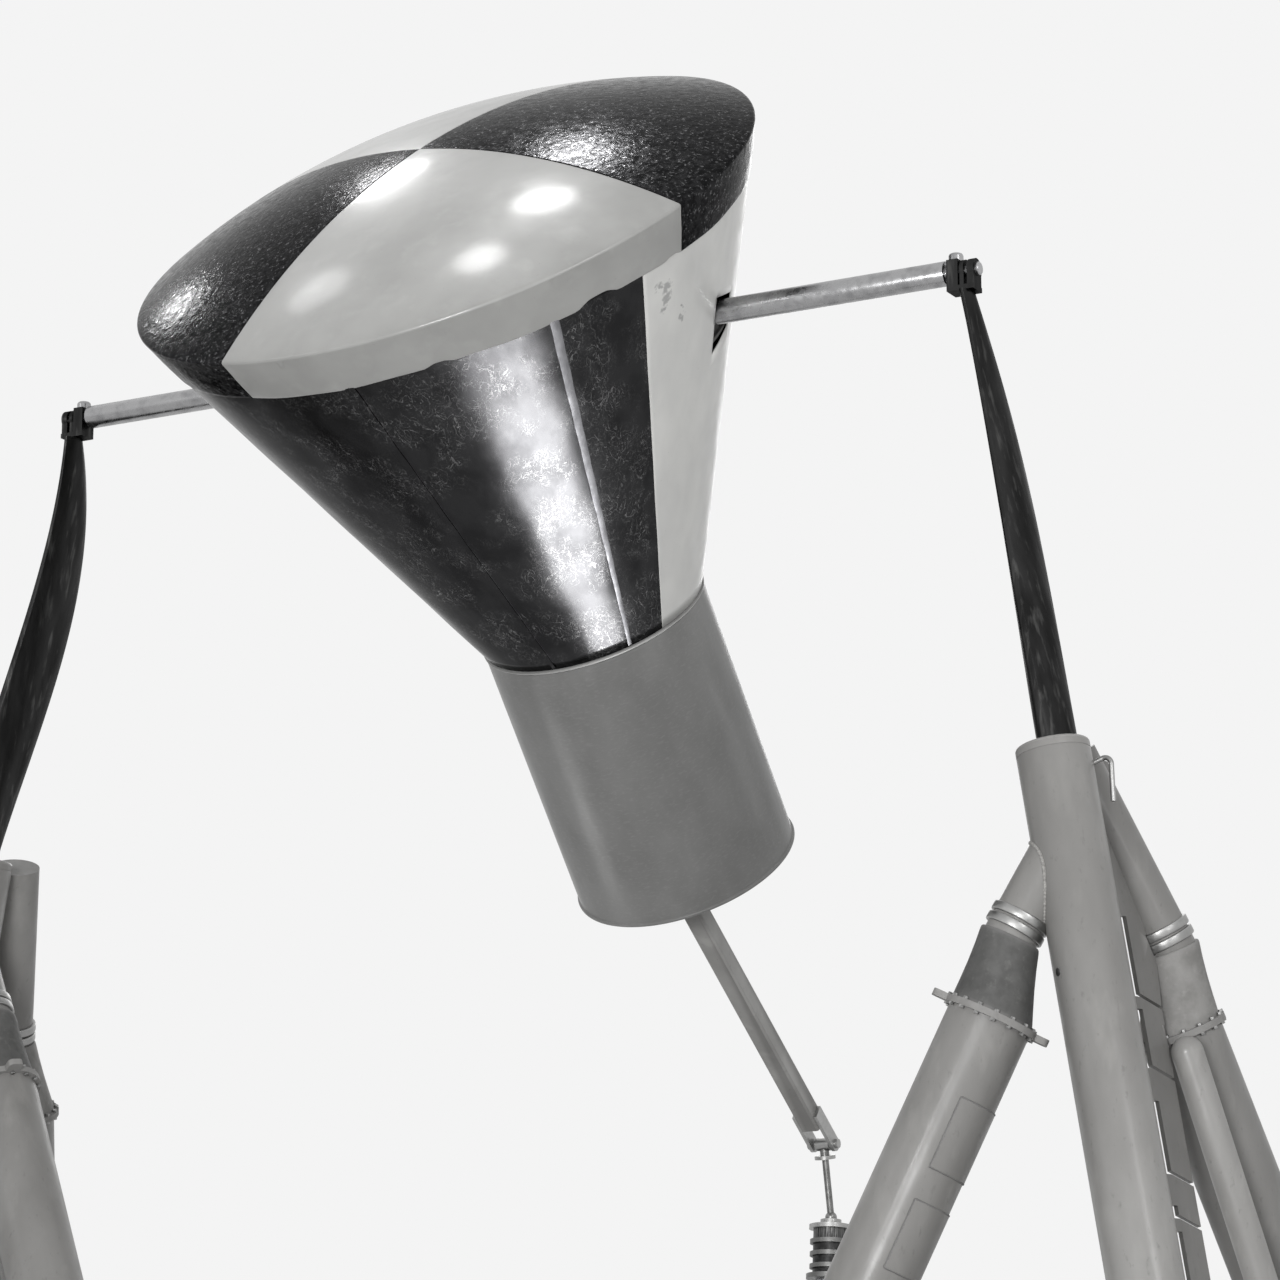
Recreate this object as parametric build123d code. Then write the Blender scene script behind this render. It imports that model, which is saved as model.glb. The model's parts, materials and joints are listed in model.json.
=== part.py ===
from build123d import *
import os
from math import sqrt

# A full-size ballistic space capsule for a wind tunnel, hung by its trunnions between two
# masts on tubular tripods, with a tail arm held by a telescoping strut.
# Millimetres. X runs along the trunnions, Y from the heat shield's lower rim towards the
# tail strut, Z up. The origin is on the floor below the middle of the whole assembly.

# Place and attitude of the trunnion axis
TRUNNION_Y = -634.0
TRUNNION_Z = 3700.0
PITCH = 41.0

# Capsule, measured along its own axis from the trunnion axis, blunt end positive
RIM_RADIUS = 945.0
RIM_STATION = 441.0
SKIRT_STATION = 300.0
NECK_STATION = -888.0
END_STATION = -1786.0
NECK_RADIUS = 347.0
DOME_RADIUS = 2300.0
SHIELD_WALL = 16.0
SHIELD_HEEL = 10.0
SKIN = 10.0
RIM_CORNER = 9.0

# Sectors of the skins: start and width in degrees about the capsule's axis, where 0 is the
# +X trunnion and -90 the side that faces down and forward
SHIELD_GORES = {"near": (-108, 90), "right": (-18, 90), "far": (72, 90), "left": (162, 90)}
CONE_PANELS = {"near": (-154, 126), "right": (-28, 56), "far": (28, 124), "left": (152, 54)}
LAP_ANGLES = (-86.0, -47.0, 94.0, 133.0)
LAP_WIDTH = 1.9
LAP_HEIGHT = 3.0
LAP_START = 6.0

# Cut-outs in the flank around the trunnion tubes: stations of the corners, low to high, and
# offsets of the two upright edges
CUTOUT_STATIONS = (-112.0, -85.0, 18.0, 58.0)
CUTOUT_OFFSETS = (-38.0, 100.0)
CUTTER_REACH = 1150.0

# Neck ring, cylinder and its end
RING_DEPTH = 12.0
RING_LIP = 7.0
BEAD_RADIUS = 6.0
END_PLATE = 12.0
END_RECESS = 14.0
RING_BEVEL = 4.0

# Trunnions: X of each step along one side
TUBE_RADIUS = 35.0
TUBE_WALL = 8.0
TUBE_END = 1456.0
JOURNAL_RADIUS = 19.0
JOURNAL_END = 1556.0
PLUG_DEPTH = 40.0
JOURNAL_CHAMFER = 3.0
BEAM_HEIGHT = 150.0
BEAM_WALL = 12.0
BEAM_END_GAP = 14.0
FRAME_DEPTH = 150.0
RUNNING_GAP = 0.4

# Mast heads: bearing block and the two fork plates, as X from and to
BLOCK_SPAN = (1466.0, 1500.0)
FORK_SPANS = ((1504.0, 1516.0), (1526.0, 1546.0))
FORK_RADIUS = 30.0
HEAD_BASE_Z = -62.0
HEAD_BASE_THICK = 14.0
HEAD_NECK_TRIM = 4.0
HEAD_TOP_Z = 29.0
HEAD_LENGTH_LIMIT = 200.0
CAP_RADIUS = 21.0
CAP_HEIGHT = 24.0
CAP_ROUND = 9.0

# Masts: height from the trunnion axis, X, Y, chord and thickness of each section
MAST_SECTIONS = (
    (-62.0, 1516.0, -3.0, 84.0, 36.0),
    (-540.0, 1604.0, 44.0, 205.0, 54.0),
    (-1000.0, 1705.0, -18.0, 220.0, 80.0),
    (-1460.0, 1800.0, -80.0, 176.0, 104.0),
)
NOSE_SHARE = 0.34
MAST_TRIM = 400.0

# Tripods, +X side, as points from the trunnion centre
COLUMN_TOP = (1765.0, -70.0, -1368.0)
COLUMN_FOOT = (2145.0, -100.0, -3700.0)
COLUMN_DIAMETER = 198.0
CAP_THICK = 26.0
CAP_CORNER = 10.0

# Raking legs: top and foot of the neck, which has a slope of its own, then the knee at the
# flange and the foot of the pipe
LEG_POINTS = {
    "inboard": (
        (1795.0, -73.0, -1624.0),
        (1662.0, -133.0, -1881.0),
        (1611.0, -145.0, -2080.0),
        (884.0, -400.0, -3700.0),
    ),
    "rear": (
        (1750.0, 85.0, -1372.0),
        (1928.0, 309.0, -1873.0),
        (1926.0, 362.0, -2076.0),
        (2312.0, 999.0, -3700.0),
    ),
}
# Direction of the flanges' ears
EAR_DIRECTIONS = {"inboard": (0.87, 0.49, 0.0), "rear": (0.20, 0.98, 0.0)}
LEG_DIAMETER = 224.0
PIPE_WALL = 8.2
NECK_DIAMETER = 144.0
NECK_CROWN = 12.0
REDUCER_TOP_DIAMETER = 154.0
CLAMP_DIAMETER = 162.0
# The two clamp rings, each from and to, as distances above the foot of the neck
CLAMP_SPANS = ((44.0, 68.0), (14.0, 38.0))
FLANGE_DIAMETER = 254.0
FLANGE_THICK = 18.0
EAR_REACH = 36.0
EAR_WIDTH = 44.0
EAR_CORNER = 14.0
OVERRUN = 120.0

# Web plates between column and rear leg, as distances out from the column's axis and down it
WEB_THICK = 12.0
WEB_INSIDE = 50.0
WEB_GAP = 3.0
WEB_OUTLINE = ((50.0, 224.0), (208.0, 224.0), (208.0, 12.0), (255.0, 12.0), (345.0, 420.0), (305.0, 680.0))
# Slots along the column, from and to, each running out into a seam across the web
WEB_SLOTS = ((448.0, 657.0), (700.0, 850.0), (946.0, 1130.0), (1222.0, 1246.0))
LOW_SLOT = (1290.0, 1650.0)
SLOT_WIDTH = 208.0
SEAM_DROP = 36.0
SEAM_WIDTH = 10.0

# Brace beside the rear leg
BRACE_TOP = (1999.0, 234.0, -2160.0)
BRACE_FOOT = (2318.0, 660.0, -3700.0)
BRACE_DIAMETER = 86.0
BRACE_LUG_DROP = 210.0
BRACE_LUG_HEIGHT = 110.0
BRACE_FOOT_SIDE = 190.0

# Foot plates
FOOT_SIDE = 360.0
FOOT_THICK = 25.0
FOOT_HOLE_RADIUS = 13.0
FOOT_HOLE_PITCH = 280.0

# Hook bracket on the column's outboard side
HOOK_ROD = 7.0
HOOK_REACH = 66.0
HOOK_DROP = 125.0
HOOK_ROOT = (30.0, -60.0)
HOOK_RISE = 24.0
HOOK_LEAN = 4.0
HOOK_BEND = 18.0

# Tail arm and clevis, as Y and Z from the trunnion centre
ARM_ROOT = (1111.0, -1396.0)
TAIL_PIN = (2104.0, -2122.0)
ARM_SIDE = 64.0
ARM_CORNER = 8.0
ARM_INSIDE = 80.0
ARM_STOP = 98.0
ARM_TRIM = 900.0
CHEEK_THICK = 12.0
CHEEK_RADIUS = 24.0
CHEEK_LENGTH = 155.0
PIN_HEAD_RADIUS = 15.0
PIN_HEAD_HEIGHT = 10.0
# Root flange: width, height, thickness and offset from the capsule's axis
ROOT_FLANGE = (220.0, 170.0, 12.0, -79.0)
ROOT_CORNER = 20.0

# Tail strut: Y and Z of its foot pin and its ball from the trunnion centre, then distances
# along it from its foot pin
STRUT_FOOT = (2057.0, -3500.0)
STRUT_BALL = (2151.0, -2354.0)
BARREL_RADIUS = 70.0
BARREL_SPAN = (75.0, 690.0)
BARREL_BORE = 46.0
BARREL_FLOOR = 30.0
GLAND_SPAN = (690.0, 722.0)
GLAND_RADIUS = 88.0
BARREL_RINGS = (110.0, 380.0, 650.0)
BARREL_RING_SIZE = (7.0, 14.0)
RAM_RADIUS = 45.0
RAM_SPAN = (330.0, 948.0)
LOWER_FLANGE = (948.0, 964.0, 76.0)
STACK_TOP = 1110.0
STACK_RADII = (56.0, 66.0)
STACK_RINGS = (982.0, 1022.0, 1062.0)
STACK_RING_DEPTH = 14.0
HEAD_PLATE = (1110.0, 1124.0, 70.0)
SOCKET = (1124.0, 1142.0, 34.0)
BALL_RADIUS = 19.0
# Link rod from the ball to the tail pin, with a collar at distances before the pin
ROD_RADIUS = 11.0
COLLAR = (48.0, 36.0, 34.0)
EYE_RADIUS = 21.0
EYE_WIDTH = 48.0
SHANK_RADIUS = 15.0

# Floor bracket of the strut
BRACKET_SIDE = 420.0
BRACKET_HOLE_PITCH = 340.0
LUG_GAP = 64.0
LUG_CLEAR = 4.0
LUG_THICK = 26.0
LUG_WIDTH = 130.0
LUG_TOP = 48.0
EYE_BOSS = 50.0
EYE_NECK = 80.0
PIN_PROUD = 16.0
FOOT_PIN_RADIUS = 24.0

LOW = (Align.CENTER, Align.CENTER, Align.MIN)
FAR = 8000.0

TRUNNION = Vector(0, TRUNNION_Y, TRUNNION_Z)
CAPSULE = Location(TRUNNION, (PITCH, 0, 0))
HALF_ANGLE_TAN = (RIM_RADIUS - NECK_RADIUS) / (RIM_STATION - NECK_STATION)
OFFSET_PER_SLOPE = sqrt(1 + HALF_ANGLE_TAN**2)

parts = {}


def add(node, *solids):
    """Keeps the solids of one node together."""
    parts.setdefault(node, []).extend(solids)


def world(point):
    """A point given from the trunnion centre, in the assembly's frame."""
    return TRUNNION + Vector(*point)


def on_axis(start, end):
    """The plane at start whose Z runs to end, and the distance between them."""
    run = end - start
    return Plane(origin=start, z_dir=run.normalized()), run.length


def rod(plane, radius, low, high):
    """A round bar along a plane's Z, from low to high."""
    return plane.offset(low) * Cylinder(radius, high - low, align=LOW)


def mirrored(solid):
    """The same piece on the other side of the middle plane."""
    return mirror(solid, about=Plane.YZ)


def cone_radius(station):
    """Outer radius of the flank at a station on the capsule's axis."""
    return NECK_RADIUS + (station - NECK_STATION) * HALF_ANGLE_TAN


def revolved(outline, start, width):
    """Turns an outline of (radius, station) points by width degrees from start."""
    face = make_face(Polyline(*[(r, 0, s) for r, s in outline], close=True))
    return Rot(0, 0, start) * revolve(face, Axis.Z, width)


def flank_outline(low, high, out, inward):
    """A strip along the flank between two stations, given by its distances off it."""
    return [
        (cone_radius(low) + out * OFFSET_PER_SLOPE, low),
        (cone_radius(high) + out * OFFSET_PER_SLOPE, high),
        (cone_radius(high) - inward * OFFSET_PER_SLOPE, high),
        (cone_radius(low) - inward * OFFSET_PER_SLOPE, low),
    ]


def shield_profile():
    """Half section of the heat shield: dome, rounded rim and conical skirt."""
    centre = RIM_STATION - sqrt(DOME_RADIUS**2 - RIM_RADIUS**2)
    inner = DOME_RADIUS - SHIELD_WALL
    wall = SHIELD_WALL * OFFSET_PER_SLOPE
    in_station = RIM_STATION - SHIELD_HEEL
    in_radius = cone_radius(in_station) - wall
    in_top = centre + sqrt(inner**2 - in_radius**2)
    half_out = RIM_RADIUS / 2
    half_in = in_radius / 2
    outer_arc = ThreePointArc(
        (0, 0, centre + DOME_RADIUS),
        (half_out, 0, centre + sqrt(DOME_RADIUS**2 - half_out**2)),
        (RIM_RADIUS, 0, RIM_STATION),
    )
    inner_arc = ThreePointArc(
        (in_radius, 0, in_top),
        (half_in, 0, centre + sqrt(inner**2 - half_in**2)),
        (0, 0, centre + inner),
    )
    flank = Polyline(
        (RIM_RADIUS, 0, RIM_STATION),
        (cone_radius(SKIRT_STATION), 0, SKIRT_STATION),
        (cone_radius(SKIRT_STATION) - wall, 0, SKIRT_STATION),
        (in_radius, 0, in_top),
    )
    close = Line((0, 0, centre + inner), (0, 0, centre + DOME_RADIUS))
    face = make_face([outer_arc, flank, inner_arc, close])
    corner = face.vertices().sort_by(Axis.X)[-1]
    return fillet(corner, RIM_CORNER)


def cutout():
    """The dart-shaped cut-out around the +X trunnion tube, as a tall cutter."""
    near_low, far_low, far_high, near_high = CUTOUT_STATIONS
    near, far = CUTOUT_OFFSETS
    outline = Polyline((near, near_low), (near, near_high), (far, far_high), (far, far_low), close=True)
    # Plane whose local X is the capsule's Y and local Y its axis
    plane = Plane(origin=(0, 0, 0), x_dir=(0, 1, 0), z_dir=(1, 0, 0))
    return extrude(plane * make_face(outline), amount=CUTTER_REACH)


def build_capsule_skins():
    """Heat shield gores, flank panels with their cut-outs, lap straps and neck ring."""
    profile = shield_profile()
    for name, (start, width) in SHIELD_GORES.items():
        add("heat_shield_" + name, Rot(0, 0, start) * revolve(profile, Axis.Z, width))
    right_cut = cutout()
    left_cut = mirror(right_cut, about=Plane.YZ)
    skin = flank_outline(NECK_STATION, SKIRT_STATION, 0, SKIN)
    for name, (start, width) in CONE_PANELS.items():
        panel = revolved(skin, start, width)
        if name == "right":
            panel -= right_cut
        if name == "left":
            panel -= left_cut
        add("cone_panel_" + name, panel)
    strap = flank_outline(NECK_STATION + LAP_START, SKIRT_STATION, LAP_HEIGHT, 0)
    for angle in LAP_ANGLES:
        add("cone_lap_straps", revolved(strap, angle - LAP_WIDTH / 2, LAP_WIDTH))
    inner = NECK_RADIUS - SKIN * OFFSET_PER_SLOPE
    low = NECK_STATION - RING_DEPTH
    ring = [
        (NECK_RADIUS + RING_LIP, NECK_STATION),
        (inner, NECK_STATION),
        (inner, low),
        (NECK_RADIUS + RING_LIP - RING_BEVEL, low),
    ]
    add("neck_ring", revolved(ring, 0, 360))


def build_cylinder():
    """Aft cylinder with its rolled end bead, and the recessed end plate."""
    top = NECK_STATION - RING_DEPTH
    shell = Pos(0, 0, END_STATION) * Cylinder(NECK_RADIUS, top - END_STATION, align=LOW)
    bead = Pos(0, 0, END_STATION + BEAD_RADIUS) * Torus(NECK_RADIUS, BEAD_RADIUS)
    bore = Pos(0, 0, END_STATION) * Cylinder(NECK_RADIUS - SKIN, top - END_STATION, align=LOW)
    add("aft_cylinder", shell + bead - bore)
    plate = Cylinder(NECK_RADIUS - SKIN, END_PLATE, align=LOW)
    add("cylinder_end_plate", Pos(0, 0, END_STATION + END_RECESS) * plate)


def build_trunnions():
    """Box beam across the inside, polished trunnion tubes and their journals."""
    across = Plane(origin=(0, 0, 0), x_dir=(0, 1, 0), z_dir=(1, 0, 0))
    half = BEAM_HEIGHT / 2
    reach = cone_radius(-half) - SKIN * OFFSET_PER_SLOPE - BEAM_END_GAP
    core = BEAM_HEIGHT - 2 * BEAM_WALL
    beam = Box(2 * reach, BEAM_HEIGHT, BEAM_HEIGHT) - Box(2 * reach - 2 * BEAM_WALL, core, core)
    add("cross_beam", beam - rod(across, TUBE_RADIUS, -reach, reach))
    tube = rod(across, TUBE_RADIUS, reach - BEAM_WALL, TUBE_END)
    tube -= rod(across, TUBE_RADIUS - TUBE_WALL, reach - BEAM_WALL, TUBE_END)
    add("trunnion_tube_right", tube)
    add("trunnion_tube_left", mirrored(tube))
    journal = rod(across, TUBE_RADIUS - TUBE_WALL, TUBE_END - PLUG_DEPTH, TUBE_END)
    journal += rod(across, JOURNAL_RADIUS, TUBE_END, JOURNAL_END)
    journal = chamfer(journal.edges().group_by(Axis.X)[-1], JOURNAL_CHAMFER)
    add("trunnion_journals", journal, mirrored(journal))


def build_frames():
    """Two frames inside the flank that carry the cross beam to the skins."""
    half = BEAM_HEIGHT / 2
    wall = SKIN * OFFSET_PER_SLOPE
    for low in (half, -half - BEAM_WALL):
        high = low + BEAM_WALL
        outer_low = cone_radius(low) - wall
        outer_high = cone_radius(high) - wall
        inner = cone_radius(-half) - wall - FRAME_DEPTH
        ring = [(outer_low, low), (outer_high, high), (inner, high), (inner, low)]
        add("beam_frames", revolved(ring, 0, 360))


def upright_plane(start, end):
    """The plane at a start whose Z runs to an end and X along the trunnions, and the distance."""
    run = world((0, *end)) - world((0, *start))
    return Plane(origin=world((0, *start)), x_dir=(1, 0, 0), z_dir=run.normalized()), run.length


def build_tail_arm():
    """Square arm with its root flange on the end plate, and the clevis plates at its end."""
    plane, length = upright_plane(ARM_ROOT, TAIL_PIN)
    bar = Box(ARM_SIDE, ARM_SIDE, length - ARM_STOP + ARM_INSIDE, align=LOW)
    bar = fillet(bar.edges().filter_by(Axis.Z), ARM_CORNER)
    outside = END_STATION + END_RECESS
    behind = CAPSULE * Pos(0, 0, outside) * Box(ARM_TRIM, ARM_TRIM, ARM_TRIM, align=LOW)
    wide, tall, thick, offset = ROOT_FLANGE
    flange = Pos(0, offset, outside - thick) * Box(wide, tall, thick, align=LOW)
    flange = fillet(flange.edges().filter_by(Axis.Z), ROOT_CORNER)
    add("tail_arm", (plane.offset(-ARM_INSIDE) * bar - behind) + CAPSULE * flange)

    side = Plane(origin=plane.origin + plane.z_dir * length, x_dir=plane.z_dir, z_dir=(1, 0, 0))
    body = Rectangle(CHEEK_LENGTH, 2 * CHEEK_RADIUS, align=(Align.MAX, Align.CENTER))
    cheek = extrude(side.offset(ARM_SIDE / 2) * (body + Circle(CHEEK_RADIUS)), amount=CHEEK_THICK)
    add("tail_clevis", cheek, mirrored(cheek))
    face = side.offset(ARM_SIDE / 2 + CHEEK_THICK)
    head = rod(face, PIN_HEAD_RADIUS, 0, PIN_HEAD_HEIGHT)
    add("clevis_pin_heads", head, mirrored(head))


def build_strut():
    """Telescoping strut: barrel on its foot eye, ram with its head, and the link rod."""
    plane, ball_station = upright_plane(STRUT_FOOT, STRUT_BALL)
    foot_axis = Plane(origin=plane.origin, x_dir=plane.z_dir, z_dir=(1, 0, 0))
    low, high = BARREL_SPAN
    width = LUG_GAP - 2 * LUG_CLEAR
    foot = plane * Box(width, EYE_NECK, low, align=LOW)
    foot += rod(foot_axis, EYE_BOSS, -width / 2, width / 2)
    foot -= rod(foot_axis, FOOT_PIN_RADIUS + RUNNING_GAP, -width / 2, width / 2)
    add("strut_foot_eye", foot)
    barrel = rod(plane, BARREL_RADIUS, low, high)
    add("strut_barrel", barrel - rod(plane, BARREL_BORE, low + BARREL_FLOOR, high))
    proud, depth = BARREL_RING_SIZE
    for station in BARREL_RINGS:
        ring = rod(plane, BARREL_RADIUS + proud, station, station + depth)
        add("strut_rings", ring - rod(plane, BARREL_RADIUS, station, station + depth))
    low, high = GLAND_SPAN
    add("strut_gland", rod(plane, GLAND_RADIUS, low, high) - rod(plane, BARREL_BORE, low, high))

    add("strut_ram", rod(plane, RAM_RADIUS, *RAM_SPAN))
    low, high, radius = LOWER_FLANGE
    stack = rod(plane, radius, low, high) + rod(plane, STACK_RADII[0], high, STACK_TOP)
    for station in STACK_RINGS:
        stack += rod(plane, STACK_RADII[1], station, station + STACK_RING_DEPTH)
    add("ram_stack", stack)
    low, high, radius = HEAD_PLATE
    plate = rod(plane, radius, low, high)
    low, high, radius = SOCKET
    ball = plane.offset(ball_station) * Sphere(BALL_RADIUS)
    add("ram_head_plate", plate + rod(plane, radius, low, high) - ball)

    lean, length = upright_plane(STRUT_BALL, TAIL_PIN)
    before, after, radius = COLLAR
    low, high = length - before, length - after
    link = ball + rod(lean, ROD_RADIUS, 0, low)
    link += rod(lean, radius, low, high) + rod(lean, SHANK_RADIUS, high, length)
    pin_axis = Plane(origin=lean.origin + lean.z_dir * length, x_dir=lean.z_dir, z_dir=(1, 0, 0))
    add("link_rod", link + rod(pin_axis, EYE_RADIUS, -EYE_WIDTH / 2, EYE_WIDTH / 2))


def build_strut_bracket():
    """Floor bracket of the strut: bored base plate, two lugs and the foot pin."""
    y = TRUNNION_Y + STRUT_FOOT[0]
    z = TRUNNION_Z + STRUT_FOOT[1]
    base = Pos(0, y, 0) * Box(BRACKET_SIDE, BRACKET_SIDE, FOOT_THICK, align=LOW)
    add("strut_bracket", base - bolt_holes(BRACKET_HOLE_PITCH, 0, y))
    rise = z - FOOT_THICK
    sides = Polyline((-LUG_WIDTH, 0), (LUG_WIDTH, 0), (LUG_TOP, rise), (-LUG_TOP, rise), close=True)
    face = make_face(sides) + Pos(0, rise) * Circle(LUG_TOP)
    inner = Plane(origin=(LUG_GAP / 2, y, FOOT_THICK), x_dir=(0, 1, 0), z_dir=(1, 0, 0))
    lug = extrude(inner * face, amount=LUG_THICK)
    across = Plane(origin=(0, y, z), x_dir=(0, 1, 0), z_dir=(1, 0, 0))
    reach = LUG_GAP / 2 + LUG_THICK + PIN_PROUD
    pin = rod(across, FOOT_PIN_RADIUS, -reach, reach)
    add("strut_bracket_lugs", lug - pin, mirrored(lug) - pin)
    add("strut_foot_pin", pin)


def oval(chord, thick):
    """Streamlined section: side arcs tangent to a round nose and a round tail."""
    half_chord = chord / 2
    half_thick = thick / 2
    nose = half_thick * NOSE_SHARE
    centre = half_chord - nose
    rise = half_thick - nose
    drop = (centre**2 - rise**2) / (2 * rise)
    side = half_thick + drop
    reach = sqrt(centre**2 + drop**2)
    y = centre * side / reach
    x = drop * side / reach - drop
    arcs = [
        ThreePointArc((x, -y), (half_thick, 0), (x, y)),
        ThreePointArc((x, y), (0, half_chord), (-x, y)),
        ThreePointArc((-x, y), (-half_thick, 0), (-x, -y)),
        ThreePointArc((-x, -y), (0, -half_chord), (x, -y)),
    ]
    return make_face(arcs)


def column_plane():
    """The plane at the column's foot point whose Z runs up its axis, and its length."""
    return on_axis(world(COLUMN_FOOT), world(COLUMN_TOP))


def build_masts():
    """Streamlined masts, their bearing heads and the round caps."""
    sections = []
    for height, x, y, chord, thick in MAST_SECTIONS:
        place = Plane(origin=world((x, y, height)), x_dir=(1, 0, 0), z_dir=(0, 0, 1))
        sections.append(place * oval(chord, thick))
    mast = loft(sections)
    plane, length = column_plane()
    mast -= rod(plane, MAST_TRIM, length - MAST_TRIM, length)
    add("mast_right", mast)
    add("mast_left", mirrored(mast))

    centre = TRUNNION
    across = Plane(origin=centre, x_dir=(0, 1, 0), z_dir=(1, 0, 0))
    low, high = BLOCK_SPAN
    block = Pos(low, centre.Y, centre.Z + HEAD_BASE_Z) * Box(
        high - low, 2 * FORK_RADIUS, HEAD_TOP_Z - HEAD_BASE_Z, align=(Align.MIN, Align.CENTER, Align.MIN)
    )
    far = FORK_SPANS[-1][1]
    base = Pos(low, centre.Y, centre.Z + HEAD_BASE_Z) * Box(
        far - low, 2 * FORK_RADIUS, HEAD_BASE_THICK, align=(Align.MIN, Align.CENTER, Align.MIN)
    )
    head = block + base
    for near, far in FORK_SPANS:
        head += rod(across, FORK_RADIUS, near, far)
        head += Pos(near, centre.Y, centre.Z + HEAD_BASE_Z) * Box(
            far - near, 2 * (FORK_RADIUS - HEAD_NECK_TRIM), -HEAD_BASE_Z,
            align=(Align.MIN, Align.CENTER, Align.MIN)
        )
    head -= rod(across, JOURNAL_RADIUS + RUNNING_GAP, 0, FAR / 2)
    add("mast_heads", head, mirrored(head))
    middle = (BLOCK_SPAN[0] + BLOCK_SPAN[1]) / 2
    cap = Pos(middle, centre.Y, centre.Z + HEAD_TOP_Z) * Cylinder(CAP_RADIUS, CAP_HEIGHT, align=LOW)
    cap = fillet(cap.edges().group_by(Axis.Z)[-1], CAP_ROUND)
    cap = cap & Pos(middle, centre.Y, centre.Z) * Box(high - low, HEAD_LENGTH_LIMIT, HEAD_LENGTH_LIMIT)
    add("head_caps", cap, mirrored(cap))


def floor_trim():
    """Everything below the top of the foot plates."""
    return Pos(0, 0, FOOT_THICK) * Box(FAR, FAR, FAR, align=(Align.CENTER, Align.CENTER, Align.MAX))


def column_rod():
    """The whole column as a solid bar that runs past both of its ends."""
    plane, length = column_plane()
    return rod(plane, COLUMN_DIAMETER / 2, -OVERRUN, length + OVERRUN)


def pipe_between(plane, diameter, low, high):
    """A pipe with the tripods' wall along a plane's Z."""
    return rod(plane, diameter / 2, low, high) - rod(plane, diameter / 2 - PIPE_WALL, low, high)


def build_columns():
    """Main columns with their rounded caps and hook brackets."""
    plane, length = column_plane()
    pipe = pipe_between(plane, COLUMN_DIAMETER, -OVERRUN, length - CAP_THICK) - floor_trim()
    add("column_right", pipe)
    add("column_left", mirrored(pipe))
    cap = Cylinder(COLUMN_DIAMETER / 2, CAP_THICK, align=LOW)
    cap = fillet(cap.edges().group_by(Axis.Z)[-1], CAP_CORNER)
    cap = plane.offset(length - CAP_THICK) * cap
    add("column_caps", cap, mirrored(cap))
    start = world(COLUMN_TOP) + Vector(COLUMN_DIAMETER / 2 - HOOK_RISE / 2, *HOOK_ROOT)
    bend = start + Vector(HOOK_REACH, 0, HOOK_RISE)
    tip = bend + Vector(HOOK_LEAN, 0, -HOOK_DROP)
    path = FilletPolyline(start, bend, tip, radius=HOOK_BEND)
    section = Plane(origin=start, z_dir=(bend - start).normalized()) * Circle(HOOK_ROD)
    hook = sweep(section, path=path) - column_rod()
    add("hook_brackets", hook, mirrored(hook))


def leg_planes(name):
    """Planes along the neck and along the pipe of a leg, each with its length. The pipe's plane
    has its X towards one ear of the flange."""
    neck_top, neck_foot, knee, foot = [world(point) for point in LEG_POINTS[name]]
    neck, neck_length = on_axis(neck_top, neck_foot)
    run = (foot - knee).normalized()
    ear = Vector(*EAR_DIRECTIONS[name])
    ear = (ear - run * ear.dot(run)).normalized()
    return neck, neck_length, Plane(origin=knee, x_dir=ear, z_dir=run), (foot - knee).length


def reducer_body(name, wall):
    """The eccentric reducer from the foot of the neck to the flange, drawn in by a wall."""
    neck, neck_length, pipe, _ = leg_planes(name)
    small = Plane(origin=neck.origin + neck.z_dir * neck_length, x_dir=pipe.x_dir, z_dir=pipe.z_dir)
    ends = [small * Circle(REDUCER_TOP_DIAMETER / 2 - wall), pipe * Circle(LEG_DIAMETER / 2 - wall)]
    return loft(ends, ruled=True)


def flange_body(name):
    """The eared flange at a leg's knee."""
    _, _, pipe, _ = leg_planes(name)
    ring = rod(pipe, FLANGE_DIAMETER / 2, 0, FLANGE_THICK)
    ears = pipe * Box(FLANGE_DIAMETER + 2 * EAR_REACH, EAR_WIDTH, FLANGE_THICK, align=LOW)
    return ring + fillet(ears.edges().filter_by(Axis(pipe.origin, pipe.z_dir)), EAR_CORNER)


def build_leg(name):
    """One raking leg: bent neck, clamp rings, eccentric reducer, eared flange and the pipe."""
    neck, neck_length, pipe, length = leg_planes(name)
    beyond = Plane(origin=neck.origin + neck.z_dir * neck_length, z_dir=pipe.z_dir)
    beyond = beyond * Box(FAR, FAR, FAR, align=LOW)
    tube = rod(neck, NECK_DIAMETER / 2, 0, neck_length + OVERRUN)
    tube -= rod(neck, NECK_DIAMETER / 2 - PIPE_WALL, NECK_CROWN, neck_length + OVERRUN)
    tube = tube - beyond - column_rod()
    for high, low in CLAMP_SPANS:
        ring = rod(neck, CLAMP_DIAMETER / 2, neck_length - low, neck_length - high)
        ring = ring - rod(neck, NECK_DIAMETER / 2, 0, neck_length) - column_rod()
        add("leg_clamps", ring, mirrored(ring))
    reducer = reducer_body(name, 0) - reducer_body(name, PIPE_WALL)
    flange = flange_body(name)
    lower = pipe_between(pipe, LEG_DIAMETER, FLANGE_THICK, length + OVERRUN) - floor_trim()
    add(name + "_leg_right", lower)
    add(name + "_leg_left", mirrored(lower))
    add("leg_necks", tube, mirrored(tube))
    add("leg_reducers", reducer, mirrored(reducer))
    add("leg_flanges", flange, mirrored(flange))


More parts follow.
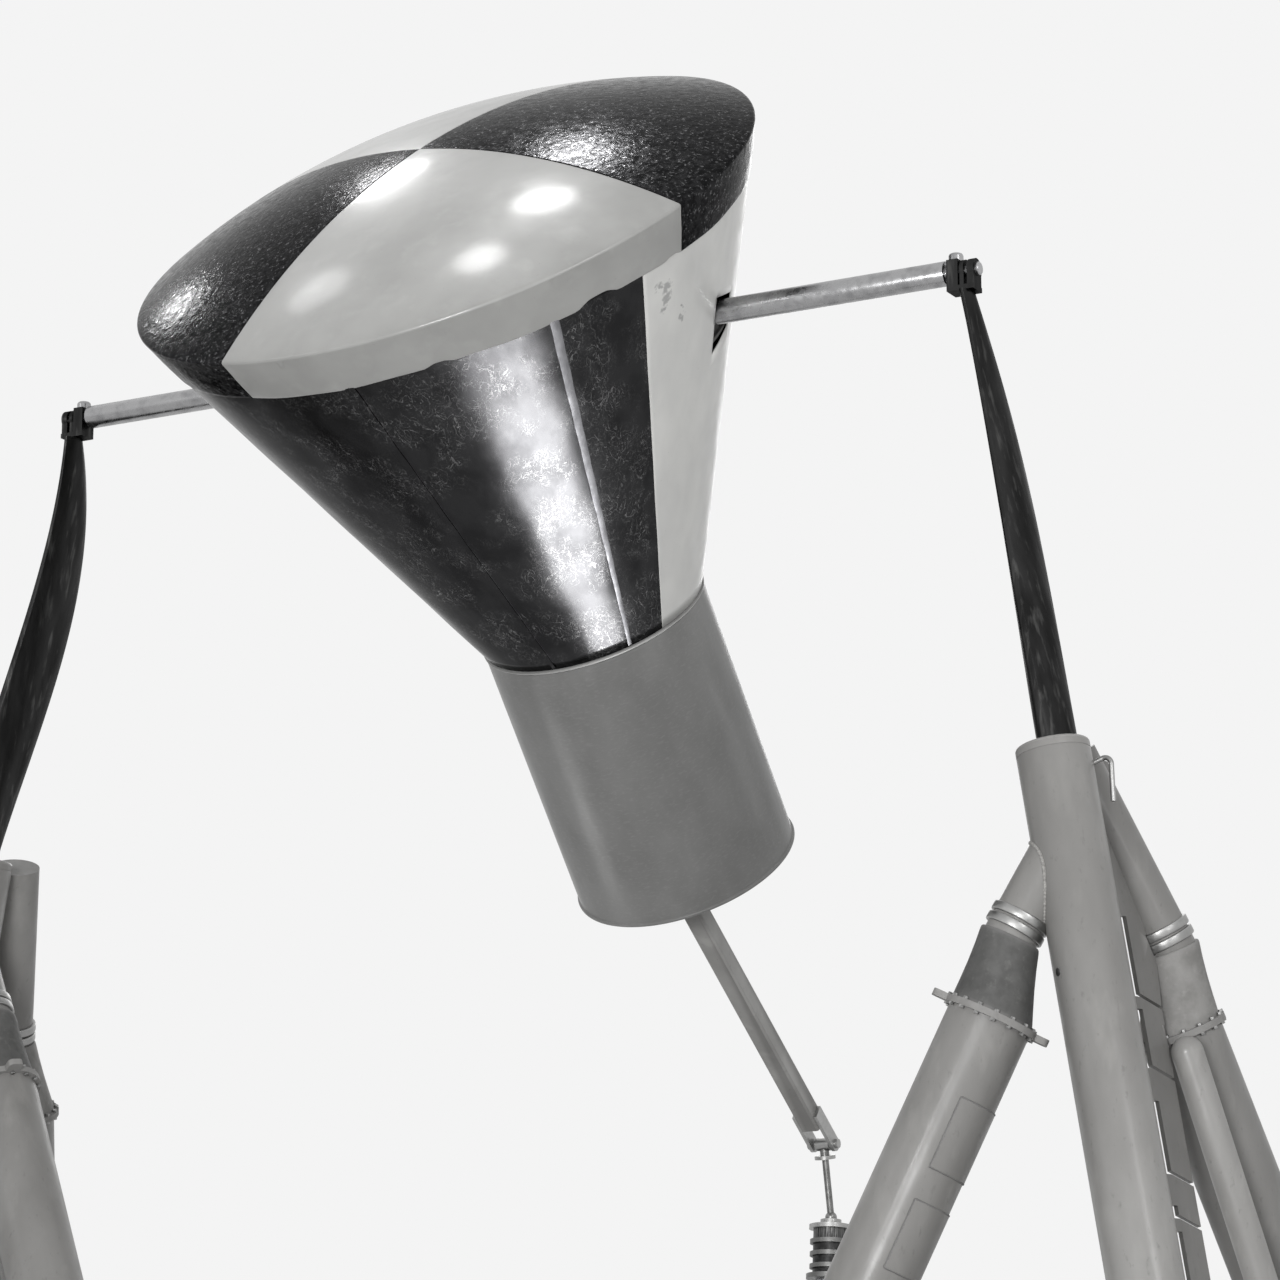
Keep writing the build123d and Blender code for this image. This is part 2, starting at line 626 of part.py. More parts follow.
def slot_outline(top, bottom):
    """A slot along the column and the seam that it runs out into, across the web."""
    out = WEB_OUTLINE[-1][0] + SEAM_DROP
    fall = bottom + SEAM_DROP
    return Polyline(
        (WEB_INSIDE, top), (SLOT_WIDTH, top), (SLOT_WIDTH, bottom), (out, fall),
        (out, fall + SEAM_WIDTH), (SLOT_WIDTH, bottom + SEAM_WIDTH), (WEB_INSIDE, bottom + SEAM_WIDTH),
        close=True
    )


def build_webs():
    """Web between column and rear leg: a plate down the column, split by its slots and seams."""
    top = world(COLUMN_TOP)
    down = (world(COLUMN_FOOT) - top).normalized()
    neck, neck_length, pipe, length = leg_planes("rear")
    out = (pipe.z_dir - down * pipe.z_dir.dot(down)).normalized()
    plane = Plane(origin=top, x_dir=out, z_dir=out.cross(down)).offset(-WEB_THICK / 2)
    _, column_length = column_plane()
    end = column_length + OVERRUN
    strip = Polyline(*WEB_OUTLINE, (WEB_OUTLINE[-1][0], end), (WEB_INSIDE, end), close=True)
    web = extrude(plane * make_face(strip), amount=WEB_THICK)
    for slot in WEB_SLOTS:
        web -= extrude(plane * make_face(slot_outline(*slot)), amount=WEB_THICK)
    low_top, low_end = LOW_SLOT
    slot = Polyline(
        (WEB_INSIDE, low_top), (SLOT_WIDTH, low_top), (SLOT_WIDTH, low_end), (WEB_INSIDE, low_end), close=True
    )
    web -= extrude(plane * make_face(slot), amount=WEB_THICK)
    web = web - column_rod() - floor_trim()
    web -= rod(neck, NECK_DIAMETER / 2, -OVERRUN, neck_length)
    high, low = CLAMP_SPANS[0][1], CLAMP_SPANS[1][0]
    web -= rod(neck, CLAMP_DIAMETER / 2 + WEB_GAP, neck_length - high - WEB_GAP, neck_length - low + WEB_GAP)
    web -= reducer_body("rear", -WEB_GAP)
    web -= rod(pipe, FLANGE_DIAMETER / 2 + WEB_GAP, -WEB_GAP, FLANGE_THICK + WEB_GAP)
    web -= rod(pipe, LEG_DIAMETER / 2, 0, length)
    web -= flange_body("rear")
    brace, brace_length = on_axis(world(BRACE_FOOT), world(BRACE_TOP))
    web -= rod(brace, BRACE_DIAMETER / 2, 0, brace_length + BRACE_DIAMETER)
    add("web_plates", web, mirrored(web))


def build_braces():
    """Slim brace pipes with round tops, the lug that ties each to the rear leg, and feet."""
    plane, length = on_axis(world(BRACE_FOOT), world(BRACE_TOP))
    radius = BRACE_DIAMETER / 2
    brace = rod(plane, radius, -OVERRUN, length) + plane.offset(length) * Sphere(radius)
    brace = brace - rod(plane, radius - PIPE_WALL, -OVERRUN, length) - floor_trim()
    add("brace_pipes", brace, mirrored(brace))
    _, _, pipe, pipe_length = leg_planes("rear")
    start = plane.origin + plane.z_dir * (length - BRACE_LUG_DROP)
    along = (start - pipe.origin).dot(pipe.z_dir)
    end = pipe.origin + pipe.z_dir * along
    lug_plane = Plane(origin=start, x_dir=plane.z_dir, z_dir=(end - start).normalized())
    lug = lug_plane * Box(BRACE_LUG_HEIGHT, WEB_THICK, (end - start).length, align=LOW)
    lug = lug - rod(plane, radius, 0, length) - rod(pipe, LEG_DIAMETER / 2, 0, pipe_length)
    add("brace_lugs", lug, mirrored(lug))
    x, y, _ = BRACE_FOOT
    foot = Pos(x, TRUNNION_Y + y, 0) * Box(BRACE_FOOT_SIDE, BRACE_FOOT_SIDE, FOOT_THICK, align=LOW)
    add("brace_feet", foot, mirrored(foot))


def bolt_holes(pitch, x, y):
    """Four floor bolt holes in a square about a point."""
    hole = Cylinder(FOOT_HOLE_RADIUS, FOOT_THICK, align=LOW)
    half = pitch / 2
    return [Pos(x + a * half, y + b * half, 0) * hole for a in (-1, 1) for b in (-1, 1)]


def build_feet():
    """Square foot plates with four holes under every pipe of the tripods."""
    for x, y, _ in (COLUMN_FOOT, LEG_POINTS["inboard"][-1], LEG_POINTS["rear"][-1]):
        y += TRUNNION_Y
        plate = Pos(x, y, 0) * Box(FOOT_SIDE, FOOT_SIDE, FOOT_THICK, align=LOW)
        plate -= bolt_holes(FOOT_HOLE_PITCH, x, y)
        add("foot_plates", plate, mirrored(plate))


build_capsule_skins()
build_cylinder()
build_trunnions()
build_frames()
for node, solids in parts.items():
    parts[node] = [CAPSULE * solid for solid in solids]
build_tail_arm()
build_strut()
build_strut_bracket()
build_masts()
build_columns()
build_leg("inboard")
build_leg("rear")
build_webs()
build_braces()
build_feet()

os.makedirs("parts", exist_ok=True)
for node, solids in parts.items():
    pieces = [piece for solid in solids for piece in solid.solids()]
    shape = pieces[0] if len(pieces) == 1 else Compound(children=pieces)
    export_step(shape, "parts/" + node + ".step")
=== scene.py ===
import json
from math import atan, cos, pi, radians, sin, sqrt

import bmesh
import bpy
import numpy as np
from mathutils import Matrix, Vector

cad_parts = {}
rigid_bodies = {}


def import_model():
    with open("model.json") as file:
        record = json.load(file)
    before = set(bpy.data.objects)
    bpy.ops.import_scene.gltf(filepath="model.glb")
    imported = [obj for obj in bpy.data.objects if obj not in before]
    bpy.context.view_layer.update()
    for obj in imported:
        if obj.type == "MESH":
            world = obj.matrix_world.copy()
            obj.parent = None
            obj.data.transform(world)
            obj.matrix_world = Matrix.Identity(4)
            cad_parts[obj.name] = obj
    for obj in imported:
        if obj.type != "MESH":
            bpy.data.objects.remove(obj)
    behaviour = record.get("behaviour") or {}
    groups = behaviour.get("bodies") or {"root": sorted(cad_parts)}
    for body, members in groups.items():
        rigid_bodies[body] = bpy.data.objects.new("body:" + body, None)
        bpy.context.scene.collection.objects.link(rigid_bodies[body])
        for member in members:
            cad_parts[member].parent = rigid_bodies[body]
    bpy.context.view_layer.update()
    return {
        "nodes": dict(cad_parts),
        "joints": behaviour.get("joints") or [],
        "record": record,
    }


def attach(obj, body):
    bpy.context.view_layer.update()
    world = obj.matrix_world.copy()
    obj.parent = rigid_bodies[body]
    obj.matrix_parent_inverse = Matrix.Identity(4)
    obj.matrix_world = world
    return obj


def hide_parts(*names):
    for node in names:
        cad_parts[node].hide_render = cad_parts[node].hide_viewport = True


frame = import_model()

# A space capsule hung by its trunnions in a pipe stand. Metres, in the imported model's frame:
# X along the trunnions, Y from the heat shield's low edge to the tail strut, Z up.
JOINTS = {joint["name"]: joint for joint in frame["joints"]}

# Capsule: measured along its own axis from the trunnion axis, blunt end positive
TRUNNION = np.array(JOINTS["capsule_pitch"]["pos_m"])
PITCH = radians(41.0)
AXIS = np.array([0.0, -sin(PITCH), cos(PITCH)])
UPWARD = np.array([0.0, cos(PITCH), sin(PITCH)])
SIDEWAYS = np.array([1.0, 0.0, 0.0])
RIM_RADIUS = 0.945
RIM_STATION = 0.441
SKIRT_STATION = 0.300
NECK_RADIUS = 0.347
NECK_STATION = -0.888
END_STATION = -1.786
DOME_RADIUS = 2.300
RIM_CORNER = 0.009
SLOPE = (RIM_RADIUS - NECK_RADIUS) / (RIM_STATION - NECK_STATION)
HALF_ANGLE = atan(SLOPE)
DOME_CENTRE = RIM_STATION - sqrt(DOME_RADIUS**2 - RIM_RADIUS**2)
SHEET = 0.003
SKIN = 0.010
LAP = 0.0034
SHIELD_WALL = 0.008
# Height above its edge at which the skirt starts to close in on the flank, and its lip's round
SKIRT_BEND = 0.050
LIP_ROUND = 0.0009

# Sectors in degrees about the capsule's axis, 0 at the +X trunnion and -90 down and forward
SHIELD_GORES = {"near": (-108, -18), "right": (-18, 72), "far": (72, 162), "left": (162, 252)}
CONE_PANELS = {"near": (-154, -28), "right": (-28, 28), "far": (28, 152), "left": (152, 206)}
LAP_ANGLES = (-86.0, 94.0)
# Straps that take the paler strap finish, a painted highlight for the bright line along them
PAINTED_HIGHLIGHT_STRAP_ANGLES = (-47.0, 133.0)
# The opening round a trunnion tube: stations of its corners, offsets of its two upright edges
CUTOUT_STATIONS = (-0.112, -0.085, 0.018, 0.058)
CUTOUT_OFFSETS = (-0.038, 0.100)
# Hand-cut waves of the skirt's edge: height, waves about the capsule, phase
SKIRT_WAVES = ((0.0022, 9.0, 0.0), (0.0012, 23.0, 1.3))
# Chipped notches in the skirt's edge: azimuth, spread in degrees, depth
SKIRT_CHIPS = ((-68.5, 2.0, 0.010), (-38.0, 3.4, 0.020), (-20.5, 1.6, 0.007), (24.0, 2.4, 0.012))
# Distances of the first columns from a seam, and how the face falls into it
SEAM_STEPS = (0.0, 0.0012, 0.0025, 0.006)
SEAM_REACH = 0.0030
SEAM_DEPTH = 0.0012
FLANK_WAVE = 0.0007
# The flank's waves fade out over this length at both ends, below this station at the upper one
FLANK_CALM = 0.05
FLANK_CALM_END = 0.29
# How far the flank runs on under the skirt, and half the turn that a lap strap covers
FLANK_LAP = 0.040
STRAP_HALF = radians(0.95)
# Smudges on the +X white panel: place and radius
FLANK_SMUDGES = (
    ((0.7710, -1.0500, 3.6560), 0.020),
    ((0.7790, -1.0180, 3.6620), 0.024),
    ((0.7710, -0.9930, 3.6380), 0.021),
    ((0.7533, -0.9778, 3.6107), 0.014),
    ((0.7544, -0.8757, 3.6187), 0.015),
    ((0.7650, -0.8990, 3.6400), 0.010),
)

# Cylinder end, trunnion tubes
BEAD_RADIUS = 0.006
RING_DEPTH = 0.012
RING_LIP = 0.004
TUBE_RADIUS = 0.035
TUBE_BORE = 0.027
TUBE_ROOT = 0.663
TUBE_END = 1.456

# Masts: height from the trunnion axis, X, Y, chord and thickness of each section
MAST_SECTIONS = np.array([
    (-0.062, 1.516, -0.003, 0.084, 0.036),
    (-0.540, 1.604, 0.044, 0.205, 0.054),
    (-1.000, 1.705, -0.018, 0.220, 0.080),
    (-1.460, 1.800, -0.079, 0.166, 0.104),
])
MAST_FOOT = -1.420
NOSE_SHARE = 0.34

# Tripods, +X side, as points from the trunnion centre
COLUMN = ((1.765, -0.070, -1.368), (2.145, -0.100, -3.700))
COLUMN_RADIUS = 0.099
COLUMN_CAP = 0.026
CAP_CORNER = 0.010
# Raking legs: top and foot of the neck, knee at the flange, foot of the pipe
LEGS = {
    "inboard": (
        (1.795, -0.073, -1.624), (1.662, -0.133, -1.881), (1.611, -0.145, -2.080), (0.884, -0.400, -3.700)),
    "rear": (
        (1.750, 0.085, -1.372), (1.928, 0.309, -1.873), (1.926, 0.362, -2.076), (2.312, 0.999, -3.700)),
}
LEG_RADIUS = 0.112
NECK_PIPE = 0.072
REDUCER_TOP = 0.077
# The two clamp rings, each from and to, as distances above the neck's foot
CLAMP_SPANS = ((0.044, 0.068), (0.014, 0.038))
CLAMP_RADIUS = 0.081
CLAMP_CORNER = 0.004
FLANGE_RADIUS = 0.127
FLANGE_THICK = 0.018
FLANGE_BOLTS = 16
# Patch plates on the inboard leg: from and to along the pipe, and the angles that they cover
PATCH_SPANS = ((0.235, 0.430), (0.520, 0.710))
PATCH_TURN = (-150.0, -16.0)
# Their thickness, the slant of their walls, and how deep these go into the pipe
PATCH_THICK = 0.003
PATCH_WALL = 0.0008
PATCH_SUNK = 0.002
# Dark disc in the column's front, a painted shade standing for the small hole there: place from the trunnion
# centre, way out, radius
COLUMN_HOLE_SHADE = ((1.8038, -0.1559, -1.9848), (-0.609, -0.788, -0.089), 0.011)
BRACE = ((1.999, 0.234, -2.160), (2.318, 0.660, -3.700))
BRACE_RADIUS = 0.043
PLATE_TOP = 0.025
# How deep a pipe's end stands in its foot plate, and a neck in its reducer
PIPE_SUNK = 0.012
NECK_SUNK = 0.020
FOOT_PITCH = 0.280
BRACKET_PITCH = 0.340
# Fasteners: how far the flange bolts sit in from its edge, widths over flats, stud above a nut
BOLT_INSET = 0.0076
FLANGE_BOLT = 0.012
ANCHOR_NUT = 0.036
ANCHOR_STUD = 0.014
# Radii of the weld beads at the floor plates, at branches and braces, and round a patch
FOOT_WELD = 0.0065
BRANCH_WELD = 0.005
PATCH_WELD = 0.0034
# Ripples of a weld bead: share of its radius and length
WELD_RIPPLES = ((0.16, 0.0095), (0.07, 0.041))
# Edges that turn by more than this stay sharp
SHARP_EDGE = radians(40.0)


# Surfaces are pairs of a point array (n, 3) and a quad array (m, 4), outward faces.

def grid_surface(points, wrap=False, keep=None, flip=False):
    """Quads over a grid of points; wrap closes its columns into a ring, flip turns them over."""
    rows, columns = points.shape[:2]
    index = np.arange(rows * columns).reshape(rows, columns)
    if wrap:
        index = np.hstack([index, index[:, :1]])
    quads = np.stack([index[:-1, :-1], index[:-1, 1:], index[1:, 1:], index[1:, :-1]], axis=-1)
    if keep is not None:
        quads = quads[keep]
    quads = quads.reshape(-1, 4)
    return points.reshape(-1, 3), quads[:, ::-1] if flip else quads


def mirrored(surface):
    """The same surface on the other side of the middle plane, still facing outwards."""
    points, faces = surface
    return points * np.array([-1.0, 1.0, 1.0]), faces[:, ::-1]


def both_sides(surfaces):
    """A list of surfaces and its mirror image."""
    return list(surfaces) + [mirrored(surface) for surface in surfaces]


def mesh_object(name, surfaces):
    """One mesh object of all the surfaces, with doubled points at seams and poles merged."""
    surfaces = list(surfaces)
    starts = np.cumsum([0] + [len(points) for points, _ in surfaces])
    points = np.vstack([points for points, _ in surfaces])
    faces = np.vstack([faces + start for (_, faces), start in zip(surfaces, starts)])
    mesh = bpy.data.meshes.new(name)
    mesh.vertices.add(len(points))
    mesh.vertices.foreach_set("co", np.ascontiguousarray(points, np.float32).ravel())
    mesh.loops.add(faces.size)
    mesh.loops.foreach_set("vertex_index", np.ascontiguousarray(faces, np.int32).ravel())
    mesh.polygons.add(len(faces))
    mesh.polygons.foreach_set("loop_start", np.arange(len(faces), dtype=np.int32) * 4)
    mesh.update(calc_edges=True)
    mesh.validate()
    work = bmesh.new()
    work.from_mesh(mesh)
    bmesh.ops.remove_doubles(work, verts=work.verts, dist=2e-6)
    bmesh.ops.dissolve_degenerate(work, edges=work.edges, dist=1e-7)
    work.to_mesh(mesh)
    work.free()
    obj = bpy.data.objects.new(name, mesh)
    bpy.context.scene.collection.objects.link(obj)
    return obj


def put_on(body, slot, name, surfaces, replaces=(), finish=None):
    """Makes a piece of its surfaces, puts it on its body, hides the CAD nodes that it stands for and gives it
    its finish. Without a finish of its own it takes that of its slot."""
    obj = mesh_object(name, surfaces)
    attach(obj, body)
    if replaces:
        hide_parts(*replaces)
    obj.data.materials.append(finish or SLOTS[slot])
    obj.data.shade_smooth()
    obj.data.set_sharp_from_angle(angle=SHARP_EDGE)
    return obj


def put_pair(body, slot, name, surface, node):
    """The +X piece and its mirror image, each in the place of its own CAD node."""
    for side, half in (("_right", surface), ("_left", mirrored(surface))):
        put_on(body, slot, name + side, [half], [node + side])


def unit(vector):
    """The vector at length one."""
    vector = np.asarray(vector, float)
    return vector / np.linalg.norm(vector)


def basis(direction):
    """Two unit vectors square to a direction, and the direction at length one."""
    w = unit(direction)
    hint = np.array([0.0, 0.0, 1.0]) if abs(w[2]) < 0.98 else np.array([1.0, 0.0, 0.0])
    u = unit(np.cross(hint, w))
    return u, np.cross(w, u), w


def spokes(direction, count, start=0.0):
    """Unit vectors square to a direction, at even angles about it, and the direction itself."""
    u, v, w = basis(direction)
    angle = start + np.arange(count) * 2 * pi / count
    return np.cos(angle)[:, None] * u + np.sin(angle)[:, None] * v, w


def turned(profile, origin, direction, sides=72):
    """A turned surface: rows follow the (radius, height) profile, columns the angle. A profile
    that goes out at the low end, up outside and in at the top faces outwards."""
    ring, w = spokes(direction, sides)
    profile = np.asarray(profile, float)
    grid = np.asarray(origin, float) + profile[:, 0, None, None] * ring + profile[:, 1, None, None] * w
    return grid_surface(grid, wrap=True)


def arc(across, height, radius, first, last, count):
    """An arc of a profile about a centre, from one angle to another: 0 points away from the axis
    and a quarter turn up it."""
    turn = np.linspace(first, last, count)
    return np.stack([across + radius * np.cos(turn), height + radius * np.sin(turn)], 1)


def rounded_ring(inner, outer, low, high, corner):
    """Profile of a closed ring, its outer edges rounded off."""
    bottom = arc(outer - corner, low + corner, corner, -pi / 2, 0, 4)
    top = arc(outer - corner, high - corner, corner, 0, pi / 2, 4)
    return np.vstack([[(inner, low)], bottom, top, [(inner, high), (inner, low)]])


def bolt_circle(origin, direction, radius, count, start=0.0):
    """Places round an axis, each with the axis direction."""
    ring, w = spokes(direction, count, start)
    return [(np.asarray(origin) + radius * spoke, w) for spoke in ring]


def hex_bolts(places, flats, washer=True, shank=0.0):
    """Hexagon heads with rounded tops on washers; a shank length adds the thread end above."""
    corner = flats / sqrt(3)
    head = 0.62 * flats
    lift = 0.12 * flats if washer else 0.0
    hexagon = [(0, 0), (corner, 0), (corner, head * 0.86), (corner * 0.90, head), (0, head)]
    brim = 1.02 * flats
    parts = []
    for origin, direction in places:
        top = np.asarray(origin) + lift * unit(direction)
        parts.append(turned(hexagon, top, direction, 6))
        if washer:
            disc = [(0, -0.001), (brim, -0.001), (brim, lift), (0, lift)]
            parts.append(turned(disc, origin, direction, 16))
        if shank:
            screw, end = 0.31 * flats, head + shank
            thread = [(0, 0), (screw, 0), (screw, end), (0, end)]
            parts.append(turned(thread, top, direction, 10))
    return parts


def weld_bead(path, radius):
    """A bead along a closed path: a round section whose radius ripples as the weld was laid."""
    tangent = np.roll(path, -1, axis=0) - np.roll(path, 1, axis=0)
    length = np.linalg.norm(tangent, axis=1, keepdims=True)
    tangent = tangent / np.maximum(length, 1e-9)
    out = path - path.mean(axis=0)
    out -= tangent * np.sum(out * tangent, axis=1, keepdims=True)
    out /= np.linalg.norm(out, axis=1, keepdims=True)
    side = np.cross(tangent, out)
    walk = np.cumsum(length[:, 0]) / 2
    ripple = 1.0
    for share, step in WELD_RIPPLES:
        ripple = ripple + share * np.sin(walk * 2 * pi / step)
    angle = np.arange(8) * 2 * pi / 8
    grid = path + (radius * ripple)[None, :, None] * (
        np.cos(angle)[:, None, None] * out + np.sin(angle)[:, None, None] * side)
    grid = np.concatenate([grid, grid[:1]], axis=0)
    return grid_surface(grid, wrap=True, flip=True)


def at(point):
    """A point given from the trunnion centre, in the scene's frame."""
    return TRUNNION + np.asarray(point, float)


def smooth_step(value):
    """0 below 0, 1 above 1, and a smooth rise between."""
    t = np.clip(value, 0.0, 1.0)
    return t * t * (3 - 2 * t)


def capsule_points(radius, azimuth, station):
    """Points from radius, azimuth in radians and station on the capsule's own axis."""
    across = (radius * np.cos(azimuth))[..., None] * SIDEWAYS
    upward = (radius * np.sin(azimuth))[..., None] * UPWARD
    return TRUNNION + across + upward + np.asarray(station)[..., None] * AXIS


def cone_radius(station):
    """Radius of the flank: it grows evenly with the station."""
    return NECK_RADIUS + (np.asarray(station) - NECK_STATION) * SLOPE


def sector_columns(radius, start, end, count):
    """Azimuths across a sector for each radius, with columns at set distances from both seams."""
    width = end - start
    steps = np.array(SEAM_STEPS) / np.maximum(radius, 1e-4)[:, None]
    steps = np.minimum(steps, np.arange(len(SEAM_STEPS)) * 0.012 * width)
    share = np.linspace(0, 1, count)[1:-1]
    low = steps[:, -1:]
    return start + np.hstack([steps, low + (width - 2 * low) * share, width - steps[:, ::-1]])


def skirt_edge(azimuth):
    """Station of the skirt's lower edge: a slow hand-cut wave with chipped notches."""
    edge = SKIRT_STATION
    for height, waves, phase in SKIRT_WAVES:
        edge = edge + height * np.sin(azimuth * waves + phase)
    for centre, spread, depth in SKIRT_CHIPS:
        turn = (np.degrees(azimuth) - centre + 180) % 360 - 180
        edge = edge + depth * np.exp(-(turn / spread) ** 4)
    return edge


def shield_gore(start, end):
    """One gore of the heat shield. Rows follow its section: the dome's inner face outwards, the
    skirt's inner face down, its lip, its outer face up, the rim's round and the dome's outer
    face back to the axis. Columns follow the azimuth, and the outer face dips into each seam."""
    ball = DOME_RADIUS - RIM_CORNER
    # Rim's round: its centre keeps the corner's radius from both dome and skirt
    station = RIM_STATION
    for _ in range(40):
        radius = float(cone_radius(station)) - RIM_CORNER / cos(HALF_ANGLE)
        station = DOME_CENTRE + sqrt(ball**2 - radius**2)
    rim = arc(radius, station, RIM_CORNER, -HALF_ANGLE, np.arctan2(station - DOME_CENTRE, radius), 9)
    reach = np.linspace(rim[-1, 0], 0, 46)[1:]
    dome = np.stack([reach, DOME_CENTRE + np.sqrt(DOME_RADIUS**2 - reach**2)], 1)
    reach = (radius - SHIELD_WALL / 2) * np.linspace(0, 1, 15)
    inner = np.stack([reach, DOME_CENTRE + np.sqrt((DOME_RADIUS - SHIELD_WALL)**2 - reach**2)], 1)
    lift = np.array([1.0, 0.75, 0.5, 0.3, 0.15, 0.07, 0.03, 0.0])
    count = len(inner)
    radii = np.concatenate([inner[:, 0], np.full(2 * len(lift), RIM_RADIUS), rim[:, 0], dome[:, 0]])
    azimuth = sector_columns(radii, radians(start), radians(end), 92)
    edge = skirt_edge(azimuth[count])
    top = rim[0, 1]
    heights = edge + (top - edge) * lift[:, None]
    bend = SKIRT_STATION + SKIRT_BEND
    proud = LAP * (1 - smooth_step((heights - bend) / (top - bend)))
    outside = cone_radius(heights) + proud / cos(HALF_ANGLE)
    inside = outside - SHEET / cos(HALF_ANGLE)
    round_off = np.where(lift < 0.01, LIP_ROUND, 0.0)[:, None]
    columns = azimuth.shape[1]
    fixed = np.vstack([inner, rim, dome])
    fixed_r, fixed_s = (np.repeat(fixed[:, k:k + 1], columns, 1) for k in (0, 1))
    all_r = np.vstack([fixed_r[:count], inside + round_off, (outside - round_off)[::-1], fixed_r[count:]])
    all_s = np.vstack([fixed_s[:count], heights, heights[::-1], fixed_s[count:]])
    gap = np.minimum(azimuth - azimuth[:, :1], azimuth[:, -1:] - azimuth) * np.maximum(all_r, 1e-4)
    dip = SEAM_DEPTH * (1 - np.clip(gap / SEAM_REACH, 0, 1)) ** 2
    dip[:count + len(lift)] = 0
    rise, run = np.gradient(all_s, axis=0), np.gradient(all_r, axis=0)
    size = np.maximum(np.hypot(rise, run), 1e-9)
    points = capsule_points(np.maximum(all_r - dip * rise / size, 0), azimuth, all_s + dip * run / size)
    return grid_surface(points)


def flank_face(azimuth, station):
    """Outer face of the flank, with the slow oil-can waves of thin sheet over its frames."""
    wave = np.sin(station * 21.0 + 2.0 * np.sin(azimuth * 3.0)) * np.sin(azimuth * 11.0 + station * 5.0)
    calm = smooth_step((station - NECK_STATION) / FLANK_CALM)
    calm = calm * smooth_step((FLANK_CALM_END - station) / FLANK_CALM)
    return capsule_points(cone_radius(station) + FLANK_WAVE * wave * calm, azimuth, station)


def flank_panel(start, end, opening=0):
    """One panel of the flank, its outer face only: rows follow the station, columns the azimuth.
    Round an opening, rows and columns bend to its four straight edges, and the cells inside are
    left out. The opening faces +X for 1 and -X for -1."""
    low, high = NECK_STATION + 0.0005, SKIRT_STATION + FLANK_LAP
    if not opening:
        rows = np.linspace(low, high, 40)
        azimuth = sector_columns(cone_radius(rows), radians(start), radians(end), 90)
        return grid_surface(flank_face(azimuth, np.repeat(rows[:, None], azimuth.shape[1], 1)))
    sides, middle = 24, 17
    rows_below, rows_beside, rows_above = 20, 12, 14
    near, far = CUTOUT_OFFSETS
    bottom_near, bottom_far, top_far, top_near = CUTOUT_STATIONS
    across = np.linspace(0, 1, middle)
    share = np.concatenate([np.zeros(sides), across, np.ones(sides)])
    bottom = bottom_near + (bottom_far - bottom_near) * share
    top = top_near + (top_far - top_near) * share
    below = low + (bottom - low) * np.linspace(0, 1, rows_below + 1)[:, None]
    beside = bottom + (top - bottom) * np.linspace(0, 1, rows_beside + 1)[1:, None]
    above = top + (high - top) * np.linspace(0, 1, rows_above + 1)[1:, None]
    station = np.vstack([below, beside, above])
    offset = near + (far - near) * across
    cut = np.arcsin(offset / cone_radius(station)[:, sides:sides + middle])
    first, last = radians(start), radians(end)
    if opening < 0:
        cut, first, last = pi - cut, last, first
    lead = first + (cut[:, :1] - first) * np.linspace(0, 1, sides + 1)[:-1]
    tail = cut[:, -1:] + (last - cut[:, -1:]) * np.linspace(0, 1, sides + 1)[1:]
    azimuth = np.hstack([lead, cut, tail])
    keep = np.ones((station.shape[0] - 1, station.shape[1] - 1), bool)
    keep[rows_below:rows_below + rows_beside, sides:sides + middle - 1] = False
    return grid_surface(flank_face(azimuth, station), keep=keep, flip=opening < 0)


def lap_strap(centre):
    """A flat strap over a seam of the flank: rows follow the station, columns cross it with
    rounded shoulders, and its width wanders a little, as hand-trimmed sheet does."""
    rows = np.linspace(NECK_STATION + 0.006, SKIRT_STATION + 0.004, 120)[:, None]
    across = np.array([-1.0, -1.0, -0.985, -0.95, -0.6, 0.0, 0.6, 0.95, 0.985, 1.0, 1.0])
    rise = np.array([-1.0, 0.0, 2.2, 3.0, 3.3, 3.4, 3.3, 3.0, 2.2, 0.0, -1.0]) / 1000
    half = STRAP_HALF * (1 + 0.05 * np.sin(rows * 47.0 + across * 2.0))
    radius = cone_radius(rows) + rise / cos(HALF_ANGLE)
    points = capsule_points(radius, radians(centre) + half * across, np.repeat(rows, len(across), 1))
    return grid_surface(points)


def capsule_ring(loop, sides=180):
    """A closed ring about the capsule's axis from a loop of (radius, station)."""
    return turned(np.vstack([loop, loop[:1]]), TRUNNION, AXIS, sides)


def oval(chord, thick, count=96):
    """Streamlined section: side arcs tangent to a round nose and a round tail, as (x, y)."""
    nose = thick / 2 * NOSE_SHARE
    centre = chord / 2 - nose
    rise = thick / 2 - nose
    drop = (centre**2 - rise**2) / (2 * rise)
    side = thick / 2 + drop
    lean = np.arctan2(centre, drop)
    flat = np.linspace(-lean, lean, count // 3)
    round_end = np.linspace(lean, pi - lean, count // 6 + 2)[1:-1]
    x = np.concatenate([side * np.cos(flat) - drop, nose * np.cos(round_end)])
    y = np.concatenate([side * np.sin(flat), centre + nose * np.sin(round_end)])
    return np.concatenate([x, -x]), np.concatenate([y, -y])


def mast_surface():
    """The +X mast: its section's place, chord and thickness follow smooth curves over height,
    cubics through the four named sections, and rows are level slices."""
    heights = np.linspace(MAST_SECTIONS[0, 0], MAST_FOOT, 70)
    known = MAST_SECTIONS[:, 0]
    curves = [np.polyval(np.polyfit(known, MAST_SECTIONS[:, k], 3), heights) for k in (1, 2, 3, 4)]
    rows = []
    for height, x, y, chord, thick in zip(heights, *curves):
        across, along = oval(chord, thick)
        rows.append(np.stack([x + across, y + along, np.full_like(across, height)], 1))
    for row in (0, -1):
        middle = np.broadcast_to(rows[row].mean(axis=0), rows[row].shape)
        rows.insert(0 if row == 0 else len(rows), middle)
    return grid_surface(at(np.array(rows)), wrap=True, flip=True)


